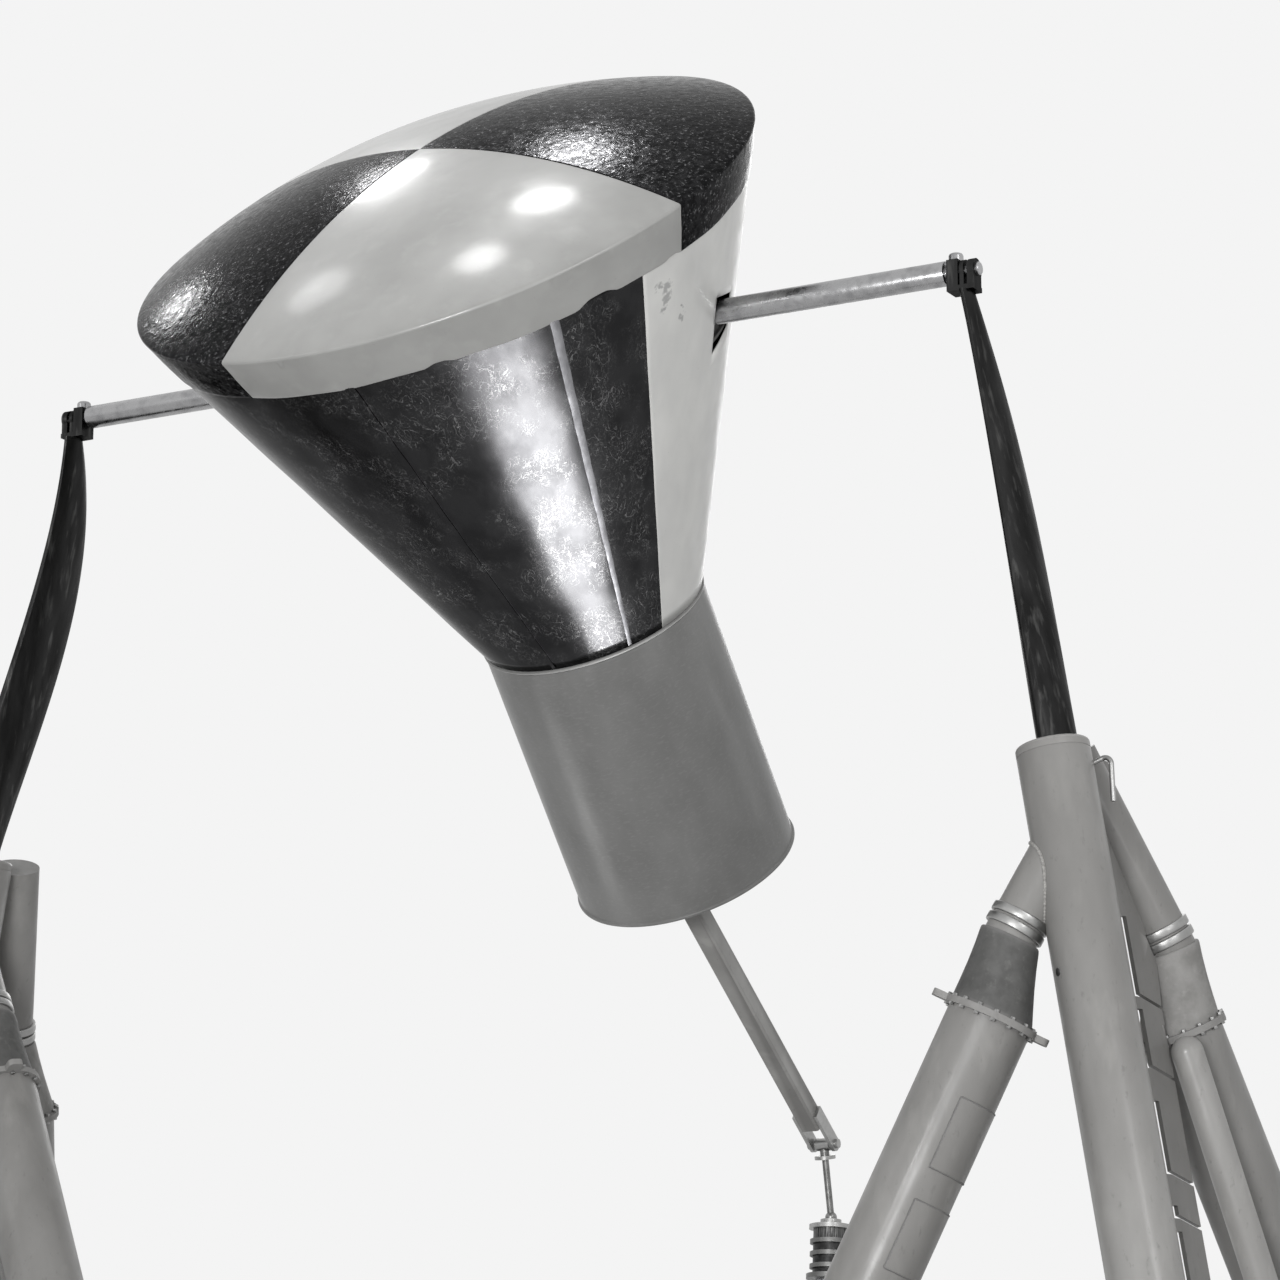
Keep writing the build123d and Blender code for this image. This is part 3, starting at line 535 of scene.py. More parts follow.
def pipe_run(start, end, profile, sides=96):
    """A turned pipe from its top to the foot plate, its last ring slid along the axis onto it."""
    origin, foot = at(start), at(end)
    length = float(np.linalg.norm(foot - origin))
    ring, w = spokes(foot - origin, sides)
    profile = np.vstack([profile, [(profile[-1][0], length)]])
    grid = origin + profile[:, 0, None, None] * ring + profile[:, 1, None, None] * w
    slide = (PLATE_TOP - PIPE_SUNK - grid[-1, :, 2]) / w[2]
    grid[-1] += slide[:, None] * w
    return grid_surface(grid, wrap=True)


def reducer_cone(small, large, direction, sides=96):
    """The eccentric reducer of a leg: circles square to the pipe, whose centre slides on a
    straight line from the neck's foot to the knee while the radius follows a cone with a
    rounded shoulder at both ends."""
    ring, _ = spokes(direction, sides)
    share = np.array([0.0, 0.0, 0.012, 0.04, 0.08, 0.25, 0.5, 0.75, 0.90, 0.95, 0.98, 1.0, 1.0])
    swell = np.array([0.0, 2.4, 4.0, 4.4, 4.0, 1.6, 0.0, 0.4, 1.2, 1.2, 0.8, 0.0, 0.0]) / 1000
    radius = REDUCER_TOP + (LEG_RADIUS - REDUCER_TOP) * share + swell
    radius[0] = radius[-1] = 0.0
    centre = small + share[:, None] * (large - small)
    return grid_surface(centre[:, None, :] + radius[:, None, None] * ring, wrap=True)


def on_pipe(top, foot, radius, along, turn):
    """Points at a radius about a pipe: top + along * w + radius * (cos(turn) * u + sin(turn) * v),
    with w down the pipe and u, v across it."""
    origin = at(top)
    u, v, w = basis(at(foot) - origin)
    outward = np.cos(turn)[..., None] * u + np.sin(turn)[..., None] * v
    return origin + along[..., None] * w + radius * outward


def patch_plate(top, foot, radius, low, high, first, last):
    """A curved patch plate welded on a pipe, from low to high down the pipe and from first to last
    about it: a flat-topped sheet whose four walls go down into the pipe."""
    along = np.array([low, low + PATCH_WALL, high - PATCH_WALL, high])
    edge = PATCH_WALL / radius
    turn = np.concatenate([[first], np.linspace(first + edge, last - edge, 20), [last]])
    sunk = np.full((len(along), len(turn)), PATCH_THICK)
    sunk[0], sunk[-1], sunk[:, 0], sunk[:, -1] = (-PATCH_SUNK,) * 4
    top_row = on_pipe(top, foot, radius, *np.meshgrid(along, turn, indexing="ij"))
    w = basis(at(foot) - at(top))[2]
    outward = top_row - at(top) - ((top_row - at(top)) @ w)[..., None] * w
    return grid_surface(top_row + sunk[..., None] * outward / radius)


def patch_outline(top, foot, radius, low, high, first, last, count=60):
    """The closed line round a patch plate, in four stretches of equal count."""
    share = np.arange(count) / count
    still = 0 * share
    run = np.concatenate([still, share, still + 1, 1 - share])
    sweep = np.concatenate([share, still + 1, 1 - share, still])
    return on_pipe(top, foot, radius, low + (high - low) * run, first + (last - first) * sweep)


def foot_ring(start, end, radius, level, count=400):
    """The closed curve where a raking pipe meets a level plane."""
    origin, foot = at(start), at(end)
    ring, w = spokes(foot - origin, count)
    ring = origin + radius * ring
    return ring + ((level - ring[:, 2]) / w[2])[:, None] * w


def pipe_joint(start, end, radius, main_start, main_end, main_radius, count=400):
    """The closed curve where a branch pipe leaves a main pipe: for each line along the branch,
    the farther root of the quadratic for its distance from the main pipe's axis."""
    ring, w = spokes(at(end) - at(start), count)
    base, axis = at(main_start), unit(at(main_end) - at(main_start))
    lines = at(start) + radius * ring
    across = w - axis * np.dot(w, axis)
    gap = (lines - base) - np.outer((lines - base) @ axis, axis)
    a = np.dot(across, across)
    b = 2 * gap @ across
    c = np.sum(gap * gap, axis=1) - main_radius**2
    run = (-b + np.sqrt(np.maximum(b * b - 4 * a * c, 0))) / (2 * a)
    return lines + run[:, None] * w


# Materials. Colours are sRGB hex values; patterns are given in millimetres of the real surface.

def linear(code):
    """Linear RGBA of an sRGB hex colour."""
    values = np.array([int(code[k:k + 2], 16) for k in (1, 3, 5)]) / 255
    values = np.where(values <= 0.04045, values / 12.92, ((values + 0.055) / 1.055) ** 2.4)
    return (*values, 1.0)


def per_mm(size):
    """Texture scale that repeats about once in that many millimetres."""
    return 1000.0 / size


def add_node(tree, kind, inputs=None, **settings):
    """Adds one node with its settings. An input takes a value, or a link where it is a socket."""
    node = tree.nodes.new("ShaderNode" + kind)
    for key, value in settings.items():
        setattr(node, key, value)
    for key, value in (inputs or {}).items():
        if isinstance(value, bpy.types.NodeSocket):
            tree.links.new(value, node.inputs[key])
        else:
            node.inputs[key].default_value = value
    return node


class Finish:
    """A surface finish under construction: its node tree, coordinates, shader and relief. Gloss is
    the specular level of paint, and rim how bright a metal mirrors at a grazing view."""

    def __init__(self, name, rough, metallic=0.0, coat=0.0, coat_rough=0.1, gloss=0.5, rim=1.0,
                 on_capsule=False):
        self.material = bpy.data.materials.new(name)
        self.material.use_nodes = True
        self.tree = self.material.node_tree
        self.tree.nodes.clear()
        self.shader = self.node("BsdfPrincipled", {
            "Metallic": metallic, "Roughness": rough, "Coat Weight": coat, "Coat Roughness": coat_rough,
            "Specular IOR Level": gloss, "Specular Tint": (rim, rim, rim, 1.0)})
        self.node("OutputMaterial", {"Surface": self.shader.outputs[0]})
        self.place = self.node("TexCoord").outputs["Object"]
        # On the capsule the pattern's Z runs along the capsule's own axis
        if on_capsule:
            self.place = self.node("Mapping", {"Vector": self.place, "Location": TRUNNION,
                                               "Rotation": (PITCH, 0, 0)}, vector_type="TEXTURE").outputs[0]
        self.colour = self.normal = None
        self.rough, self.bare = rough, 1.0

    def node(self, kind, inputs=None, **settings):
        """A node of this finish."""
        return add_node(self.tree, kind, inputs, **settings)

    def grain(self, mm, stretch=(1, 1, 1), detail=3.0, rough=0.55, low=0.35, high=0.65):
        """A noise pattern of that size, stretched along the axes, from 0 below low to 1 above high."""
        here = self.node("Mapping", {"Vector": self.place, "Scale": tuple(1 / s for s in stretch)}).outputs[0]
        noise = self.node("TexNoise", {"Vector": here, "Scale": per_mm(mm), "Detail": detail,
                                       "Roughness": rough})
        return self.node("MapRange", {"Value": noise.outputs[0], "From Min": low, "From Max": high},
                         clamp=True).outputs[0]

    def scratches(self, mm, width, stretch=(1, 1, 1)):
        """Thin wandering lines, where a noise passes its middle value, kept to some patches."""
        here = self.node("Mapping", {"Vector": self.place, "Scale": tuple(1 / s for s in stretch)}).outputs[0]
        noise = self.node("TexNoise", {"Vector": here, "Scale": per_mm(mm), "Detail": 4.0, "Distortion": 1.2})
        away = self.node("Math", {0: noise.outputs[0], 1: 0.5}, operation="SUBTRACT").outputs[0]
        away = self.node("Math", {0: away}, operation="ABSOLUTE").outputs[0]
        line = self.node("MapRange", {"Value": away, "From Min": width, "From Max": 0.0},
                         clamp=True).outputs[0]
        patches = self.grain(140, detail=2, low=0.42, high=0.60)
        return self.node("Math", {0: line, 1: patches}, operation="MULTIPLY").outputs[0]

    def paint(self, colour, mask=None, share=1.0):
        """Lays a colour over what is there, where the mask is, at that share."""
        if mask is None:
            self.colour = linear(colour)
            return self
        cover = self.node("Math", {0: mask, 1: share}, operation="MULTIPLY").outputs[0]
        self.colour = self.node("Mix", {0: cover, 6: self.colour, 7: linear(colour)},
                                data_type="RGBA").outputs[2]
        return self

    def roughen(self, mask, amount):
        """Adds that much roughness where the mask is."""
        more = self.node("Math", {0: mask, 1: amount}, operation="MULTIPLY").outputs[0]
        self.rough = self.node("Math", {0: self.rough, 1: more}, operation="ADD").outputs[0]
        return self

    def dull(self, mask, share):
        """Scatters light like dust or torn metal where the mask is, up to that share."""
        loss = self.node("Math", {0: mask, 1: share}, operation="MULTIPLY").outputs[0]
        self.bare = self.node("Math", {0: self.bare, 1: loss}, operation="SUBTRACT").outputs[0]
        return self

    def relief(self, height, depth_mm):
        """Raises the surface by that many millimetres where the pattern is at 1."""
        below = {"Normal": self.normal} if self.normal else {}
        self.normal = self.node("Bump", {"Strength": 1.0, "Distance": depth_mm / 1000, "Height": height,
                                         **below}).outputs[0]
        return self

    def smudge(self, place, radius, torn=0.05):
        """A soft-edged spot about a point of the scene, its outline torn by a noise."""
        here = self.node("TexCoord").outputs["Object"]
        noise = self.node("TexNoise", {"Vector": here, "Scale": per_mm(14), "Detail": 3.0})
        shift = self.node("VectorMath", {0: noise.outputs[1], 1: (0.5, 0.5, 0.5)}, operation="SUBTRACT")
        shift = self.node("VectorMath", {0: shift.outputs[0], "Scale": torn}, operation="SCALE")
        here = self.node("VectorMath", {0: here, 1: shift.outputs[0]}, operation="ADD").outputs[0]
        away = self.node("VectorMath", {0: here, 1: place}, operation="DISTANCE").outputs["Value"]
        return self.node("MapRange", {"Value": away, "From Min": radius, "From Max": radius * 0.55},
                         clamp=True).outputs[0]

    def edges(self):
        """Where an edge of the piece stands out, from 0 on flat faces to 1 on sharp edges."""
        point = self.node("NewGeometry").outputs["Pointiness"]
        return self.node("MapRange", {"Value": point, "From Min": 0.505, "From Max": 0.54},
                         clamp=True).outputs[0]

    def done(self):
        """Links what was built and hands over the material."""
        built = {"Base Color": self.colour, "Roughness": self.rough, "Metallic": self.bare,
                 "Normal": self.normal}
        for key, socket in built.items():
            if isinstance(socket, bpy.types.NodeSocket):
                self.tree.links.new(socket, self.shader.inputs[key])
        return self.material


def light_enamel():
    """Light grey enamel sprayed on formed sheet: a satin skin with faint orange peel, slow waves
    from the forming and rubbed paler and darker clouds."""
    f = Finish("sprayed_light_enamel", rough=0.30, coat=0.4, coat_rough=0.12, on_capsule=True)
    f.paint("#9f9f9d").paint("#929290", f.grain(230, low=0.40, high=0.70))
    f.paint("#adadab", f.grain(90, low=0.55, high=0.8), 0.5)
    f.paint("#7f7f7d", f.grain(14, detail=4, low=0.66, high=0.78), 0.35)
    f.roughen(f.grain(120), 0.10)
    f.relief(f.grain(130, detail=1), 0.30).relief(f.grain(7, detail=2), 0.012)
    return f.done()


def hammered_dark():
    """Polished sheet, beaten to the dome's shape: small dished marks that break up every reflection, with
    duller patches between. Its near-black base colour is painted reflection: it stands for the dark
    surroundings that the polished metal mirrors."""
    f = Finish("beaten_polished_sheet_painted_dark_reflection", rough=0.12, metallic=1.0, rim=0.56, on_capsule=True)
    # Near-black base colour: painted reflection of the dark surroundings in the polished metal
    f.paint("#2b2b2c").paint("#151516", f.grain(24, detail=6, rough=0.7, low=0.42, high=0.56), 0.85)
    specks = f.grain(11, detail=5, rough=0.7, low=0.57, high=0.66)
    f.paint("#8a8a8c", specks, 0.5).dull(specks, 0.5)
    f.roughen(f.grain(30, detail=5), 0.16)
    f.relief(f.grain(26, detail=3), 0.40).relief(f.grain(10, detail=3), 0.12)
    return f.done()


def rolled_dark():
    """Polished sheet, rolled to the flank: long draw marks down the cone, oil-can waves and mottled stains
    where it was handled. Its near-black base colour is painted reflection: it stands for the dark
    surroundings that the polished metal mirrors."""
    f = Finish("rolled_polished_sheet_painted_dark_reflection", rough=0.19, metallic=1.0, rim=0.6, on_capsule=True)
    coarse, fine = f.scratches(34, 0.010, stretch=(1, 1, 2.2)), f.scratches(15, 0.016, stretch=(1, 1, 1.6))
    # Near-black base colour: painted reflection of the dark surroundings in the polished metal
    f.paint("#343435").paint("#242425", f.grain(90, stretch=(1, 1, 2.5), detail=4, low=0.42, high=0.6), 0.6)
    f.paint("#868686", coarse, 0.5).paint("#868686", fine, 0.3)
    f.dull(coarse, 0.55).dull(fine, 0.28)
    f.roughen(f.grain(55, stretch=(1, 1, 3), detail=4), 0.05)
    f.relief(f.grain(240, stretch=(1, 1, 2.0), detail=0), 0.14)
    f.relief(f.grain(12, stretch=(1, 1, 8), detail=3), 0.012)
    return f.done()


def strap_sheet():
    """Flat strap over a seam, never polished: a duller band than the sheet, and paler as painted highlight,
    standing for the bright line that the strap catches.
    """
    f = Finish("wiped_sheet_strap", rough=0.36, metallic=1.0, on_capsule=True)
    # Paler base colour: painted highlight for the bright line along the strap
    f.paint("#5c5c5e").paint("#424244", f.grain(30, stretch=(1, 1, 4), detail=4), 0.7)
    f.roughen(f.grain(25, detail=3), 0.12)
    f.relief(f.grain(40, stretch=(1, 1, 3), detail=2), 0.05)
    return f.done()


def white_enamel():
    """White enamel on rolled sheet: an even satin white with finger smudges and a few scuffs."""
    f = Finish("white_enamel", rough=0.34, coat=0.15, coat_rough=0.2, on_capsule=True)
    f.paint("#dcdcd9").paint("#cbcbc9", f.grain(180, stretch=(1, 1, 2)), 0.8)
    for place, radius in FLANK_SMUDGES:
        f.paint("#69696c", f.smudge(place, radius), 0.55)
    f.paint("#8f8f8e", f.grain(9, detail=4, low=0.68, high=0.8), 0.45)
    f.roughen(f.grain(60), 0.12)
    f.relief(f.grain(120, detail=1), 0.25).relief(f.grain(6, detail=2), 0.010)
    return f.done()


def grey_satin():
    """Mid-grey satin enamel on the rolled aft cylinder: rubbed streaks along it."""
    f = Finish("grey_satin_enamel", rough=0.30, gloss=0.3, on_capsule=True)
    f.paint("#7a7a79").paint("#6b6b6a", f.grain(150, stretch=(1, 1, 1.5)), 0.7)
    f.paint("#8b8b8a", f.grain(16, stretch=(1, 1, 0.35), detail=4, low=0.52, high=0.72), 0.35)
    f.paint("#565655", f.grain(7, detail=4, low=0.68, high=0.8), 0.3)
    f.roughen(f.grain(80, stretch=(1, 1, 3)), 0.10)
    f.relief(f.grain(160, stretch=(1, 1, 2), detail=1), 0.25).relief(f.grain(5, detail=2), 0.008)
    return f.done()


def primer(name, colour, shade):
    """Brushed-on primer on plate inside the shell: dull, uneven, with runs."""
    f = Finish(name, rough=0.72, on_capsule=True)
    f.paint(colour).paint(shade, f.grain(40, stretch=(1, 1, 2)), 0.8)
    f.relief(f.grain(6, stretch=(3, 1, 1)), 0.05)
    return f.done()


def polished_tube():
    """Ground and polished steel tube: bright, with fine marks round it."""
    f = Finish("polished_steel_tube", rough=0.20, metallic=1.0)
    f.paint("#a9a9aa").paint("#7e7e80", f.grain(40, detail=4, low=0.45, high=0.7), 0.6)
    f.roughen(f.grain(22, detail=3), 0.14)
    f.relief(f.grain(2.5, stretch=(0.3, 8, 8), detail=2), 0.006)
    return f.done()


def stand_paint():
    """Light grey shop paint on mill pipe: brushed, chalky, rubbed darker where hands and slings
    went, chipped to steel on the edges."""
    f = Finish("grey_shop_paint", rough=0.38, coat=0.2, coat_rough=0.20, gloss=0.3)
    f.paint("#a3a2a0").paint("#8f8e8c", f.grain(160, stretch=(1, 1, 2.5), detail=4), 0.85)
    f.paint("#b3b2af", f.grain(70, stretch=(1, 1, 3), low=0.55, high=0.75), 0.6)
    f.paint("#6c6b69", f.grain(16, stretch=(1, 1, 2), detail=5, low=0.62, high=0.76), 0.5)
    f.paint("#5a5957", f.edges(), 0.55)
    f.roughen(f.grain(60, stretch=(1, 1, 2)), 0.16)
    f.relief(f.grain(90, detail=2), 0.10).relief(f.grain(4, stretch=(1, 1, 3), detail=3), 0.03)
    return f.done()


def machined_steel():
    """Turned and milled steel: fine tool marks, grey sheen, darker patches and paler edges."""
    f = Finish("machined_steel", rough=0.33, metallic=1.0)
    f.paint("#8b8b8a").paint("#5c5c5b", f.grain(24, detail=4), 0.7).paint("#b5b5b4", f.edges(), 0.6)
    f.roughen(f.grain(14, detail=3), 0.16)
    f.relief(f.grain(2, stretch=(4, 4, 0.4), detail=2), 0.01)
    return f.done()


def plated_bolts():
    """Zinc-plated fasteners: pale grey metal, dulled unevenly."""
    f = Finish("plated_fasteners", rough=0.30, metallic=1.0)
    f.paint("#a5a5a4").paint("#6a6a69", f.grain(9, detail=3), 0.7)
    f.roughen(f.grain(6, detail=2), 0.2)
    return f.done()


def blackened_steel():
    """Oil-blackened steel rings: near black with grey rubbed edges."""
    f = Finish("oil_blackened_steel", rough=0.36, metallic=1.0)
    f.paint("#2c2c2c").paint("#4a4a4a", f.grain(18, detail=4), 0.6).paint("#8b8b8a", f.edges(), 0.6)
    f.roughen(f.grain(12, detail=3), 0.16)
    f.relief(f.grain(3, detail=2), 0.01)
    return f.done()


def mast_steel():
    """Dark forged steel, filed and oiled: long file marks down the mast and rubbed flats."""
    f = Finish("filed_dark_steel", rough=0.28, metallic=1.0, rim=0.5)
    f.paint("#3a3a3a").paint("#222222", f.grain(70, stretch=(1, 1, 5), detail=4), 0.8)
    f.paint("#636362", f.grain(22, stretch=(1, 1, 9), detail=3, low=0.56, high=0.74), 0.6)
    f.roughen(f.grain(36, stretch=(1, 1, 6), detail=3), 0.18)
    f.relief(f.grain(60, stretch=(1, 1, 4), detail=2), 0.25)
    f.relief(f.grain(4, stretch=(1, 1, 12), detail=2), 0.015)
    return f.done()


def reducer_paint(name, colour, shade, worn):
    """Matte paint on the tapered castings: dull, with the casting's grain beneath."""
    f = Finish(name, rough=0.58)
    f.paint(colour).paint(shade, f.grain(60, detail=4), 0.8)
    f.paint(worn, f.grain(20, low=0.58, high=0.75), 0.4).paint("#8a8988", f.edges(), 0.4)
    f.roughen(f.grain(30), 0.14)
    f.relief(f.grain(5, detail=4), 0.07)
    return f.done()


def weld_metal():
    """Painted weld beads: the paint of the pipes, darker in small patches."""
    f = Finish("painted_weld", rough=0.5)
    f.paint("#9d9c99").paint("#6e6d6b", f.grain(8, detail=3), 0.7)
    f.relief(f.grain(2.5, detail=3), 0.08)
    return f.done()


DARK_DOME = hammered_dark()
DARK_FLANK = rolled_dark()
STRAP = strap_sheet()
LIGHT = light_enamel()
WHITE = white_enamel()
GREY = grey_satin()
PRIMED_STEEL = primer("primed_steel", "#4a4a49", "#3a3a39")
PRIMED_SHEET = primer("primed_sheet", "#585857", "#454544")
TUBE = polished_tube()
PAINT = stand_paint()
STEEL = machined_steel()
BOLTS = plated_bolts()
BLACK = blackened_steel()
MAST = mast_steel()
REDUCER = reducer_paint("dark_matte_paint", "#565655", "#444443", "#6d6d6b")
# Paler matte paint of the flanges; on the rear reducers it is painted light, the same dark castings shown lit
PALE_PAINT_AND_PAINTED_LIGHT = reducer_paint("grey_matte_paint_and_painted_light", "#8c8b89", "#757472", "#9d9c99")
WELD = weld_metal()

# Slot of the record that each material belongs to
SLOTS = {
    "shield_light_enamel": LIGHT, "polished_dark_sheet": DARK_FLANK, "white_enamel": WHITE,
    "grey_satin_enamel": GREY, "primed_steel": PRIMED_STEEL, "primed_aluminium": PRIMED_SHEET,
    "polished_tube": TUBE, "stand_grey_paint": PAINT, "machined_steel": STEEL,
    "blackened_steel": BLACK, "mast_dark_steel": MAST, "reducer_dark_paint": REDUCER,
}


# CAD nodes keep their shape and take the finish of their slot, or a finish of their own
OWN_FINISH = {"leg_flanges": PALE_PAINT_AND_PAINTED_LIGHT}
for part in frame["record"]["subparts"]:
    node = frame["nodes"][part["node"]]
    node.data.materials.clear()
    node.data.materials.append(OWN_FINISH.get(part["node"], SLOTS[part["material_slot"]]))
    for face in node.data.polygons:
        face.material_index = 0


# Heat shield
for name, (start, end) in SHIELD_GORES.items():
    light = name in ("near", "far")
    put_on("capsule", "shield_light_enamel" if light else "polished_dark_sheet", "shield_gore_" + name,
           [shield_gore(start, end)], ["heat_shield_" + name], LIGHT if light else DARK_DOME)

# Flank
for name, (start, end) in CONE_PANELS.items():
    slot = "polished_dark_sheet" if name in ("near", "far") else "white_enamel"
    opening = {"right": 1, "left": -1}.get(name, 0)
    panel = put_on("capsule", slot, "flank_panel_" + name, [flank_panel(start, end, opening)],
                   ["cone_panel_" + name])
    wall = panel.modifiers.new("sheet", "SOLIDIFY")
    wall.thickness = SHEET + 0.001
    wall.offset = -1.0
# The second pair of straps takes the paler finish, a painted highlight for their bright line
for name, angles, finish in (("lap", LAP_ANGLES, DARK_FLANK), ("wiped", PAINTED_HIGHLIGHT_STRAP_ANGLES, STRAP)):
    put_on("capsule", "polished_dark_sheet", "flank_" + name + "_straps",
           [lap_strap(angle) for angle in angles], ["cone_lap_straps"], finish)
inner = NECK_RADIUS - SKIN
bottom = NECK_STATION - RING_DEPTH
half = RING_DEPTH / 2
lip = arc(NECK_RADIUS + RING_LIP - half, bottom + half, half, -pi / 2, pi / 2, 13)
neck = np.vstack([[(inner, bottom)], lip, [(inner, NECK_STATION)]])
put_on("capsule", "polished_dark_sheet", "flank_neck_ring", [capsule_ring(neck)], ["neck_ring"], GREY)

# Aft cylinder
bead = arc(NECK_RADIUS, END_STATION + BEAD_RADIUS, BEAD_RADIUS, -pi / 2, pi / 2 - 0.25, 12)
top = bottom - 0.001
shell = np.vstack([[(inner, END_STATION + 0.002), (inner + 0.002, END_STATION)], bead,
                   [(NECK_RADIUS, END_STATION + 0.013), (NECK_RADIUS, top), (inner, top)]])
put_on("capsule", "grey_satin_enamel", "aft_cylinder_skin", [capsule_ring(shell, 200)], ["aft_cylinder"])

# Trunnion tubes
tube = [
    (TUBE_BORE, TUBE_ROOT), (TUBE_RADIUS, TUBE_ROOT), (TUBE_RADIUS, TUBE_END - 0.003),
    (TUBE_RADIUS - 0.001, TUBE_END - 0.0008), (TUBE_RADIUS - 0.003, TUBE_END),
    (TUBE_BORE, TUBE_END), (TUBE_BORE, TUBE_ROOT),
]
tube = turned(tube, TRUNNION, SIDEWAYS, 96)
put_pair("capsule", "polished_tube", "trunnion_tube_skin", tube, "trunnion_tube")

# Masts
put_pair("stand", "mast_dark_steel", "mast_skin", mast_surface(), "mast")

# Columns with their rounded caps
edge = arc(COLUMN_RADIUS - CAP_CORNER, CAP_CORNER, CAP_CORNER, -pi / 2, 0, 6)
cap = np.vstack([[(0, 0)], edge, [(COLUMN_RADIUS, COLUMN_CAP), (0, COLUMN_CAP)]])
caps = both_sides([turned(cap, at(COLUMN[0]), at(COLUMN[1]) - at(COLUMN[0]), 96)])
put_on("stand", "stand_grey_paint", "column_top_caps", caps, ["column_caps"])
column = [(0, COLUMN_CAP), (COLUMN_RADIUS - 0.0012, COLUMN_CAP), (COLUMN_RADIUS, COLUMN_CAP + 0.002)]
put_pair("stand", "stand_grey_paint", "column_pipe", pipe_run(*COLUMN, column), "column")

# Raking legs: neck, clamp rings, reducer, flange bolts and pipe; patches and the dark disc painted as shade
# for the column's hole
necks, clamps, bolts = [], [], []
welds = [weld_bead(foot_ring(*COLUMN, COLUMN_RADIUS, PLATE_TOP), FOOT_WELD)]
for name, (neck_top, neck_foot, knee, foot) in LEGS.items():
    origin, bend, elbow = at(neck_top), at(neck_foot), at(knee)
    neck_run, w = bend - origin, unit(at(foot) - elbow)
    neck_length = float(np.linalg.norm(neck_run))
    low_end = neck_length + NECK_SUNK
    necks.append(turned([(0, 0), (NECK_PIPE, 0), (NECK_PIPE, low_end), (0, low_end)], origin, neck_run))
    for high, low in CLAMP_SPANS:
        ends = neck_length - low, neck_length - high
        ring = rounded_ring(NECK_PIPE - 0.001, CLAMP_RADIUS, *ends, CLAMP_CORNER)
        clamps.append(turned(ring, origin, neck_run))
    # The rear reducer takes the paler paint as painted light: the same dark casting as the inboard one, shown
    # lit
    put_on("stand", "reducer_dark_paint", name + "_leg_reducers", both_sides([reducer_cone(bend, elbow, w)]),
           ["leg_reducers"], REDUCER if name == "inboard" else PALE_PAINT_AND_PAINTED_LIGHT)
    for face, way in ((elbow, -w), (elbow + w * FLANGE_THICK, w)):
        circle = bolt_circle(face, way, FLANGE_RADIUS - BOLT_INSET, FLANGE_BOLTS, 0.2)
        bolts += hex_bolts(circle, FLANGE_BOLT, washer=False)
    pipe = pipe_run(knee, foot, [(0, FLANGE_THICK), (LEG_RADIUS, FLANGE_THICK)])
    put_pair("stand", "stand_grey_paint", name + "_leg_pipe", pipe, name + "_leg")
    welds.append(weld_bead(foot_ring(knee, foot, LEG_RADIUS, PLATE_TOP), FOOT_WELD))
    if name == "inboard":
        branch = pipe_joint(neck_top, neck_foot, NECK_PIPE, *COLUMN, COLUMN_RADIUS)
        welds.append(weld_bead(branch, BRANCH_WELD))
patches = [(*LEGS["inboard"][2:], LEG_RADIUS, *span, *np.radians(PATCH_TURN)) for span in PATCH_SPANS]
plates = both_sides([patch_plate(*patch) for patch in patches])
seams = both_sides([weld_bead(patch_outline(*patch), PATCH_WELD) for patch in patches])
put_on("stand", "stand_grey_paint", "inboard_leg_patches", plates)
put_on("stand", "reducer_dark_paint", "inboard_leg_patch_seams", seams)
# A blackened disc on the column: painted shade for the small hole there
place, outward, radius = COLUMN_HOLE_SHADE
shade_disc = [(0, -0.004), (radius, -0.004), (radius, 0.0012), (radius - 0.002, 0.002), (0, 0.002)]
put_on("stand", "blackened_steel", "column_hole_plugs", both_sides([turned(shade_disc, at(place), outward, 24)]))
put_on("stand", "stand_grey_paint", "leg_neck_pipes", both_sides(necks), ["leg_necks"])
put_on("stand", "machined_steel", "leg_clamp_rings", both_sides(clamps), ["leg_clamps"])
put_on("stand", "machined_steel", "leg_flange_bolts", both_sides(bolts), finish=BOLTS)

# Braces
brace = pipe_run(*BRACE, arc(0, 0, BRACE_RADIUS, -pi / 2, 0, 10))
put_on("stand", "stand_grey_paint", "brace_round_pipes", both_sides([brace]), ["brace_pipes"])
welds.append(weld_bead(foot_ring(*BRACE, BRACE_RADIUS, PLATE_TOP), BRANCH_WELD))
put_on("stand", "stand_grey_paint", "stand_weld_beads", both_sides(welds), finish=WELD)

# Floor anchors through the plates: four about each foot, and four about the strut's bracket
QUARTERS = [(a, b) for a in (-0.5, 0.5) for b in (-0.5, 0.5)]
feet = [at((*foot[:2], 0)) for foot in (COLUMN[1], LEGS["inboard"][-1], LEGS["rear"][-1])]
anchors = [((x + a * FOOT_PITCH, y + b * FOOT_PITCH, PLATE_TOP), (0, 0, 1))
           for x, y, _ in feet for a, b in QUARTERS]
strut_y = float(JOINTS["tail_strut_swing"]["pos_m"][1])
corners = [((a * BRACKET_PITCH, strut_y + b * BRACKET_PITCH, PLATE_TOP), (0, 0, 1)) for a, b in QUARTERS]
foot_nuts, strut_nuts = (hex_bolts(places, ANCHOR_NUT, shank=ANCHOR_STUD) for places in (anchors, corners))
put_on("stand", "machined_steel", "floor_anchor_bolts", both_sides(foot_nuts) + strut_nuts, finish=BOLTS)


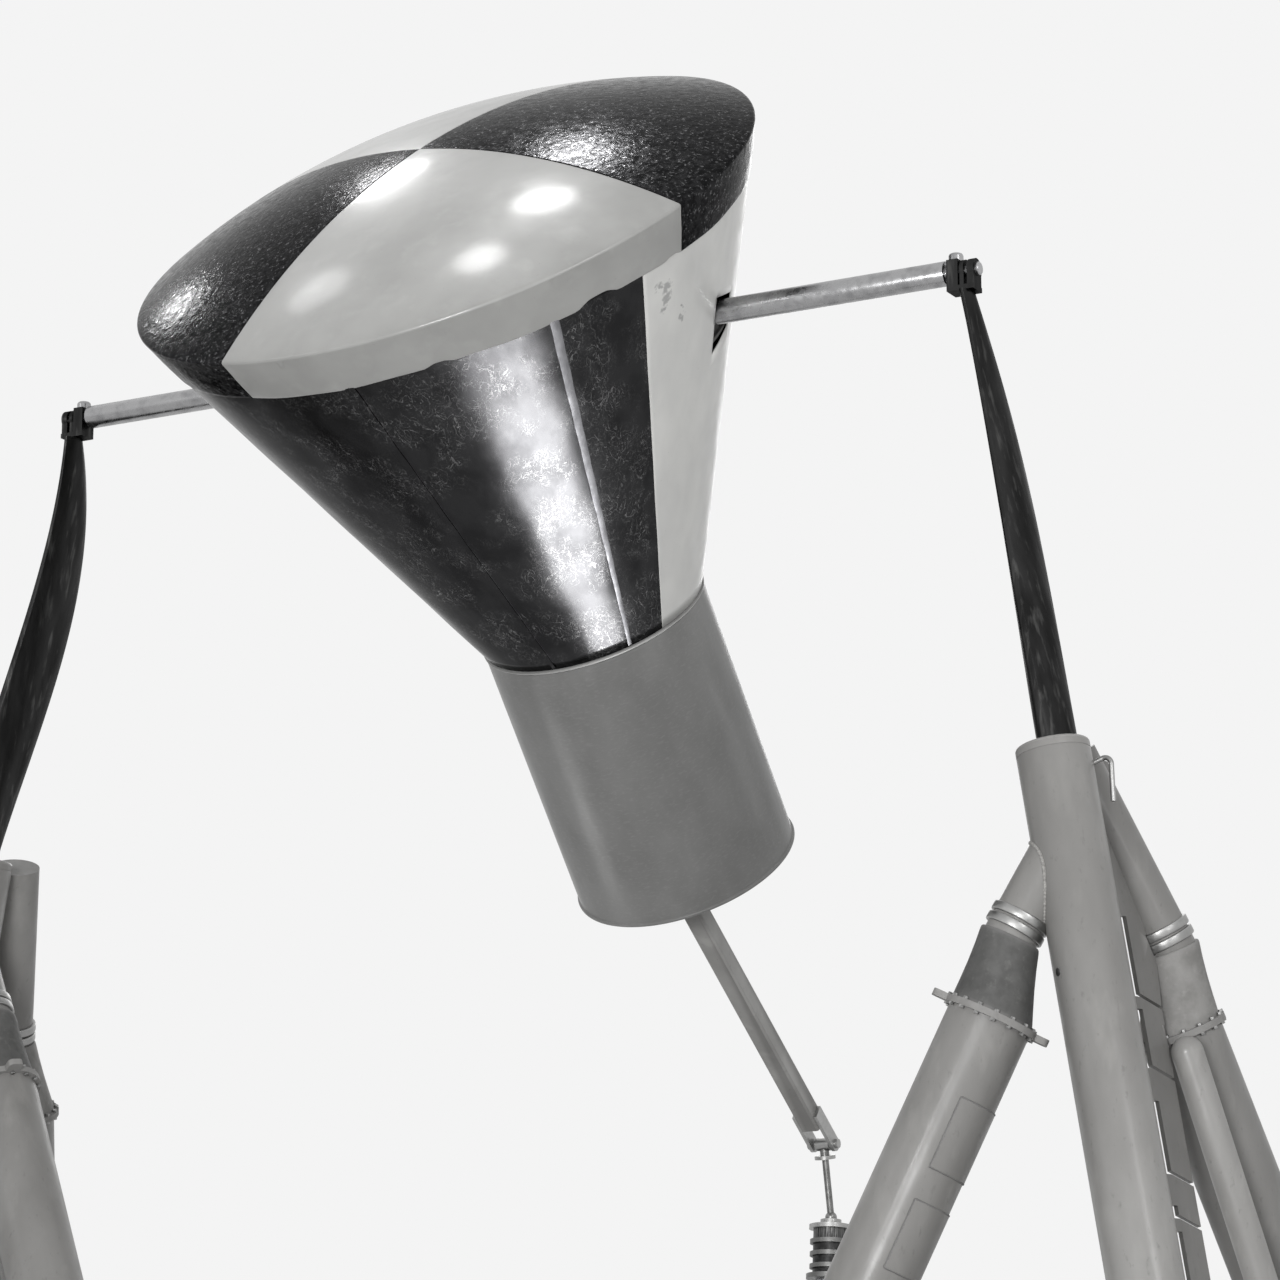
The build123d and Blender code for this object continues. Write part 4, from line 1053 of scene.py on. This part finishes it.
# Studio: pale floor, white surroundings, soft lamps
def to_the_eye(tree, plain, seen):
    """A strength that is one value for camera, gloss and glass rays and another for the rest."""
    path = add_node(tree, "LightPath").outputs
    ray = path["Is Camera Ray"]
    for kind in ("Is Glossy Ray", "Is Transmission Ray"):
        ray = add_node(tree, "Math", {0: ray, 1: path[kind]}, operation="MAXIMUM").outputs[0]
    return add_node(tree, "MapRange", {"Value": ray, "To Min": plain, "To Max": seen}).outputs[0]


def surroundings():
    """A white world: its colour shows to the camera, to gloss and through glass at strength 1,
    and lights the object at a plain level."""
    world = bpy.data.worlds.new("studio_white")
    bpy.context.scene.world = world
    world.use_nodes = True
    tree = world.node_tree
    tree.nodes.clear()
    strength = to_the_eye(tree, WORLD_LIGHT, 1.0)
    light = add_node(tree, "Background", {"Color": linear("#f4f4f4"), "Strength": strength})
    add_node(tree, "OutputWorld", {"Surface": light.outputs[0]})


def soft_lamp(name, place, target, size, power, height=None, only=(), spared=()):
    """A round or rectangular soft box at a place, facing a point. It lights all pieces, or only
    some of them, or all but those that are spared."""
    data = bpy.data.lights.new(name, "AREA")
    data.shape = "RECTANGLE" if height else "DISK"
    data.size = size
    if height:
        data.size_y = height
    data.energy = power
    lamp = bpy.data.objects.new(name, data)
    bpy.context.scene.collection.objects.link(lamp)
    lamp.location = place
    lamp.rotation_euler = (Vector(target) - Vector(place)).to_track_quat("-Z", "Y").to_euler()
    lamp.visible_camera = False
    if only or spared:
        reach = bpy.data.collections.new(name + "_reach")
        for piece in only or spared:
            reach.objects.link(piece)
        for member in reach.collection_objects:
            member.light_linking.link_state = "INCLUDE" if only else "EXCLUDE"
        lamp.light_linking.receiver_collection = reach


def studio_floor():
    """A wide pale floor. Camera and gloss see it lifted towards white; it keeps the shadows."""
    corners = np.array([[(-1, -1, 0), (1, -1, 0)], [(-1, 1, 0), (1, 1, 0)]], float) * FLOOR_REACH
    floor = mesh_object("studio_floor", [grid_surface(corners)])
    finish = bpy.data.materials.new("pale_floor")
    finish.use_nodes = True
    tree = finish.node_tree
    tree.nodes.clear()
    shader = add_node(tree, "BsdfPrincipled", {
        "Base Color": linear("#d9d9d9"), "Roughness": 0.8, "Emission Color": linear("#ffffff"),
        "Emission Strength": to_the_eye(tree, 0.0, FLOOR_LIFT)})
    add_node(tree, "OutputMaterial", {"Surface": shader.outputs[0]})
    floor.data.materials.append(finish)
    return floor


WORLD_LIGHT = 0.42
FLOOR_REACH = 80.0
FLOOR_LIFT = 0.40
CAMERA_PLACE = TRUNNION + np.array([5.942, -9.818, -3.547])
CAMERA_LOOK = np.array([-0.4730, 0.8513, 0.2272])
LENS = 115.19

surroundings()
floor = studio_floor()
middle = np.array([0.0, -0.6, 2.8])
soft_lamp("key", (-5.5, -8.5, 5.5), middle, 3.0, 40)
soft_lamp("front", (3.4, -10.8, 0.9), middle, 3.0, 800, spared=[floor])
soft_lamp("side", (8.0, -5.0, 4.0), middle, 1.6, 170, height=5.0)
soft_lamp("back", (-3.0, 8.0, 6.0), middle, 4.0, 90)

# Floods whose reflections the skins carry, each in the mirrored direction of the view at a point
# of the dome, flank, aft cylinder or a pipe. A flood lights only the pieces named with it, so
# that the surfaces beside them keep their own level
pieces = bpy.data.objects
DARK_SHIELD = [pieces["shield_gore_left"], pieces["shield_gore_right"]]
LIGHT_SHIELD = [pieces["shield_gore_near"], pieces["shield_gore_far"]]
DARK_CONE = [pieces[name] for name in (
    "flank_panel_near", "flank_panel_far", "flank_lap_straps", "flank_wiped_straps", "flank_neck_ring")]
CYLINDER = [pieces["aft_cylinder_skin"]]
LEG_PIPE = [pieces[name] for name in (
    "inboard_leg_pipe_right", "inboard_leg_pipe_left", "leg_neck_pipes", "inboard_leg_patches")]
COLUMN_PIPE = [pieces["column_pipe_right"], pieces["column_pipe_left"], pieces["column_top_caps"]]
# Pipe of a flood: its top and its foot
PIPES = {"column": COLUMN, "leg": LEGS["inboard"][2:]}
FLOODS = (
    # name, surface, azimuth in degrees, place along it, distance, size, power, pieces
    ("dome_crown", "dome", -97.5, 0.197, 6.0, 0.85, 32, LIGHT_SHIELD),
    ("dome_middle", "dome", -34.1, 0.655, 6.0, 0.75, 32, LIGHT_SHIELD),
    ("dome_low", "dome", -54.9, 0.771, 6.0, 0.65, 22, LIGHT_SHIELD),
    ("dome_left", "dome", -92.5, 0.711, 6.0, 0.80, 12, LIGHT_SHIELD),
    ("dark_crown", "dome", -97.5, 0.197, 6.0, 0.50, 46, DARK_SHIELD),
    ("dark_right", "dome", -12.4, 0.552, 6.0, 0.70, 120, DARK_SHIELD),
    ("dark_left", "dome", -138.5, 0.807, 6.0, 0.40, 25, DARK_SHIELD),
    ("flank", "cone", -57.5, -0.245, 3.0, 1.35, 125, DARK_CONE),
    ("cylinder_left", "cylinder", -100.0, -1.35, 2.4, 0.5, 7, CYLINDER),
    ("cylinder_right", "cylinder", -10.0, -1.35, 4.0, 0.4, 3, CYLINDER),
    ("leg", "leg", -14.0, 0.25, 4.0, 0.5, 22, LEG_PIPE),
    ("column", "column", 20.0, 0.40, 4.0, 1.2, 24, COLUMN_PIPE),
)


def mirror_point(surface, azimuth, along):
    """A point of a skin and its normal. On the dome it lies at that radius, on the flank and
    cylinder at that station, and on a pipe at that share of its length, where the azimuth is
    counted from the side that faces the camera."""
    angle = radians(azimuth)
    radial = cos(angle) * SIDEWAYS + sin(angle) * UPWARD
    if surface == "dome":
        rise = sqrt(DOME_RADIUS**2 - along**2)
        point = capsule_points(np.array(along), angle, DOME_CENTRE + rise)
        return point, (radial * along + AXIS * rise) / DOME_RADIUS
    if surface == "cone":
        return capsule_points(cone_radius(along), angle, along), unit(radial - SLOPE * AXIS)
    if surface == "cylinder":
        return capsule_points(np.array(NECK_RADIUS), angle, along), radial
    top, foot = (at(end) for end in PIPES[surface])
    axis = unit(foot - top)
    point = top + along * (foot - top)
    facing = CAMERA_PLACE - point
    facing = unit(facing - np.dot(facing, axis) * axis)
    return point, cos(angle) * facing + sin(angle) * np.cross(facing, axis)


for name, surface, azimuth, along, distance, size, power, reach in FLOODS:
    point, normal = mirror_point(surface, azimuth, along)
    view = unit(point - CAMERA_PLACE)
    place = point + distance * (view - 2 * np.dot(view, normal) * normal)
    soft_lamp("flood_" + name, place, point, size, power, only=reach)

camera_data = bpy.data.cameras.new("view")
camera_data.sensor_width = 36.0
camera_data.lens = LENS
camera_data.clip_end = 100
camera = bpy.data.objects.new("view", camera_data)
bpy.context.scene.collection.objects.link(camera)
camera.location = CAMERA_PLACE
camera.rotation_euler = Vector(CAMERA_LOOK).to_track_quat("-Z", "Y").to_euler()
bpy.context.scene.camera = camera
bpy.context.scene.view_settings.view_transform = "Standard"
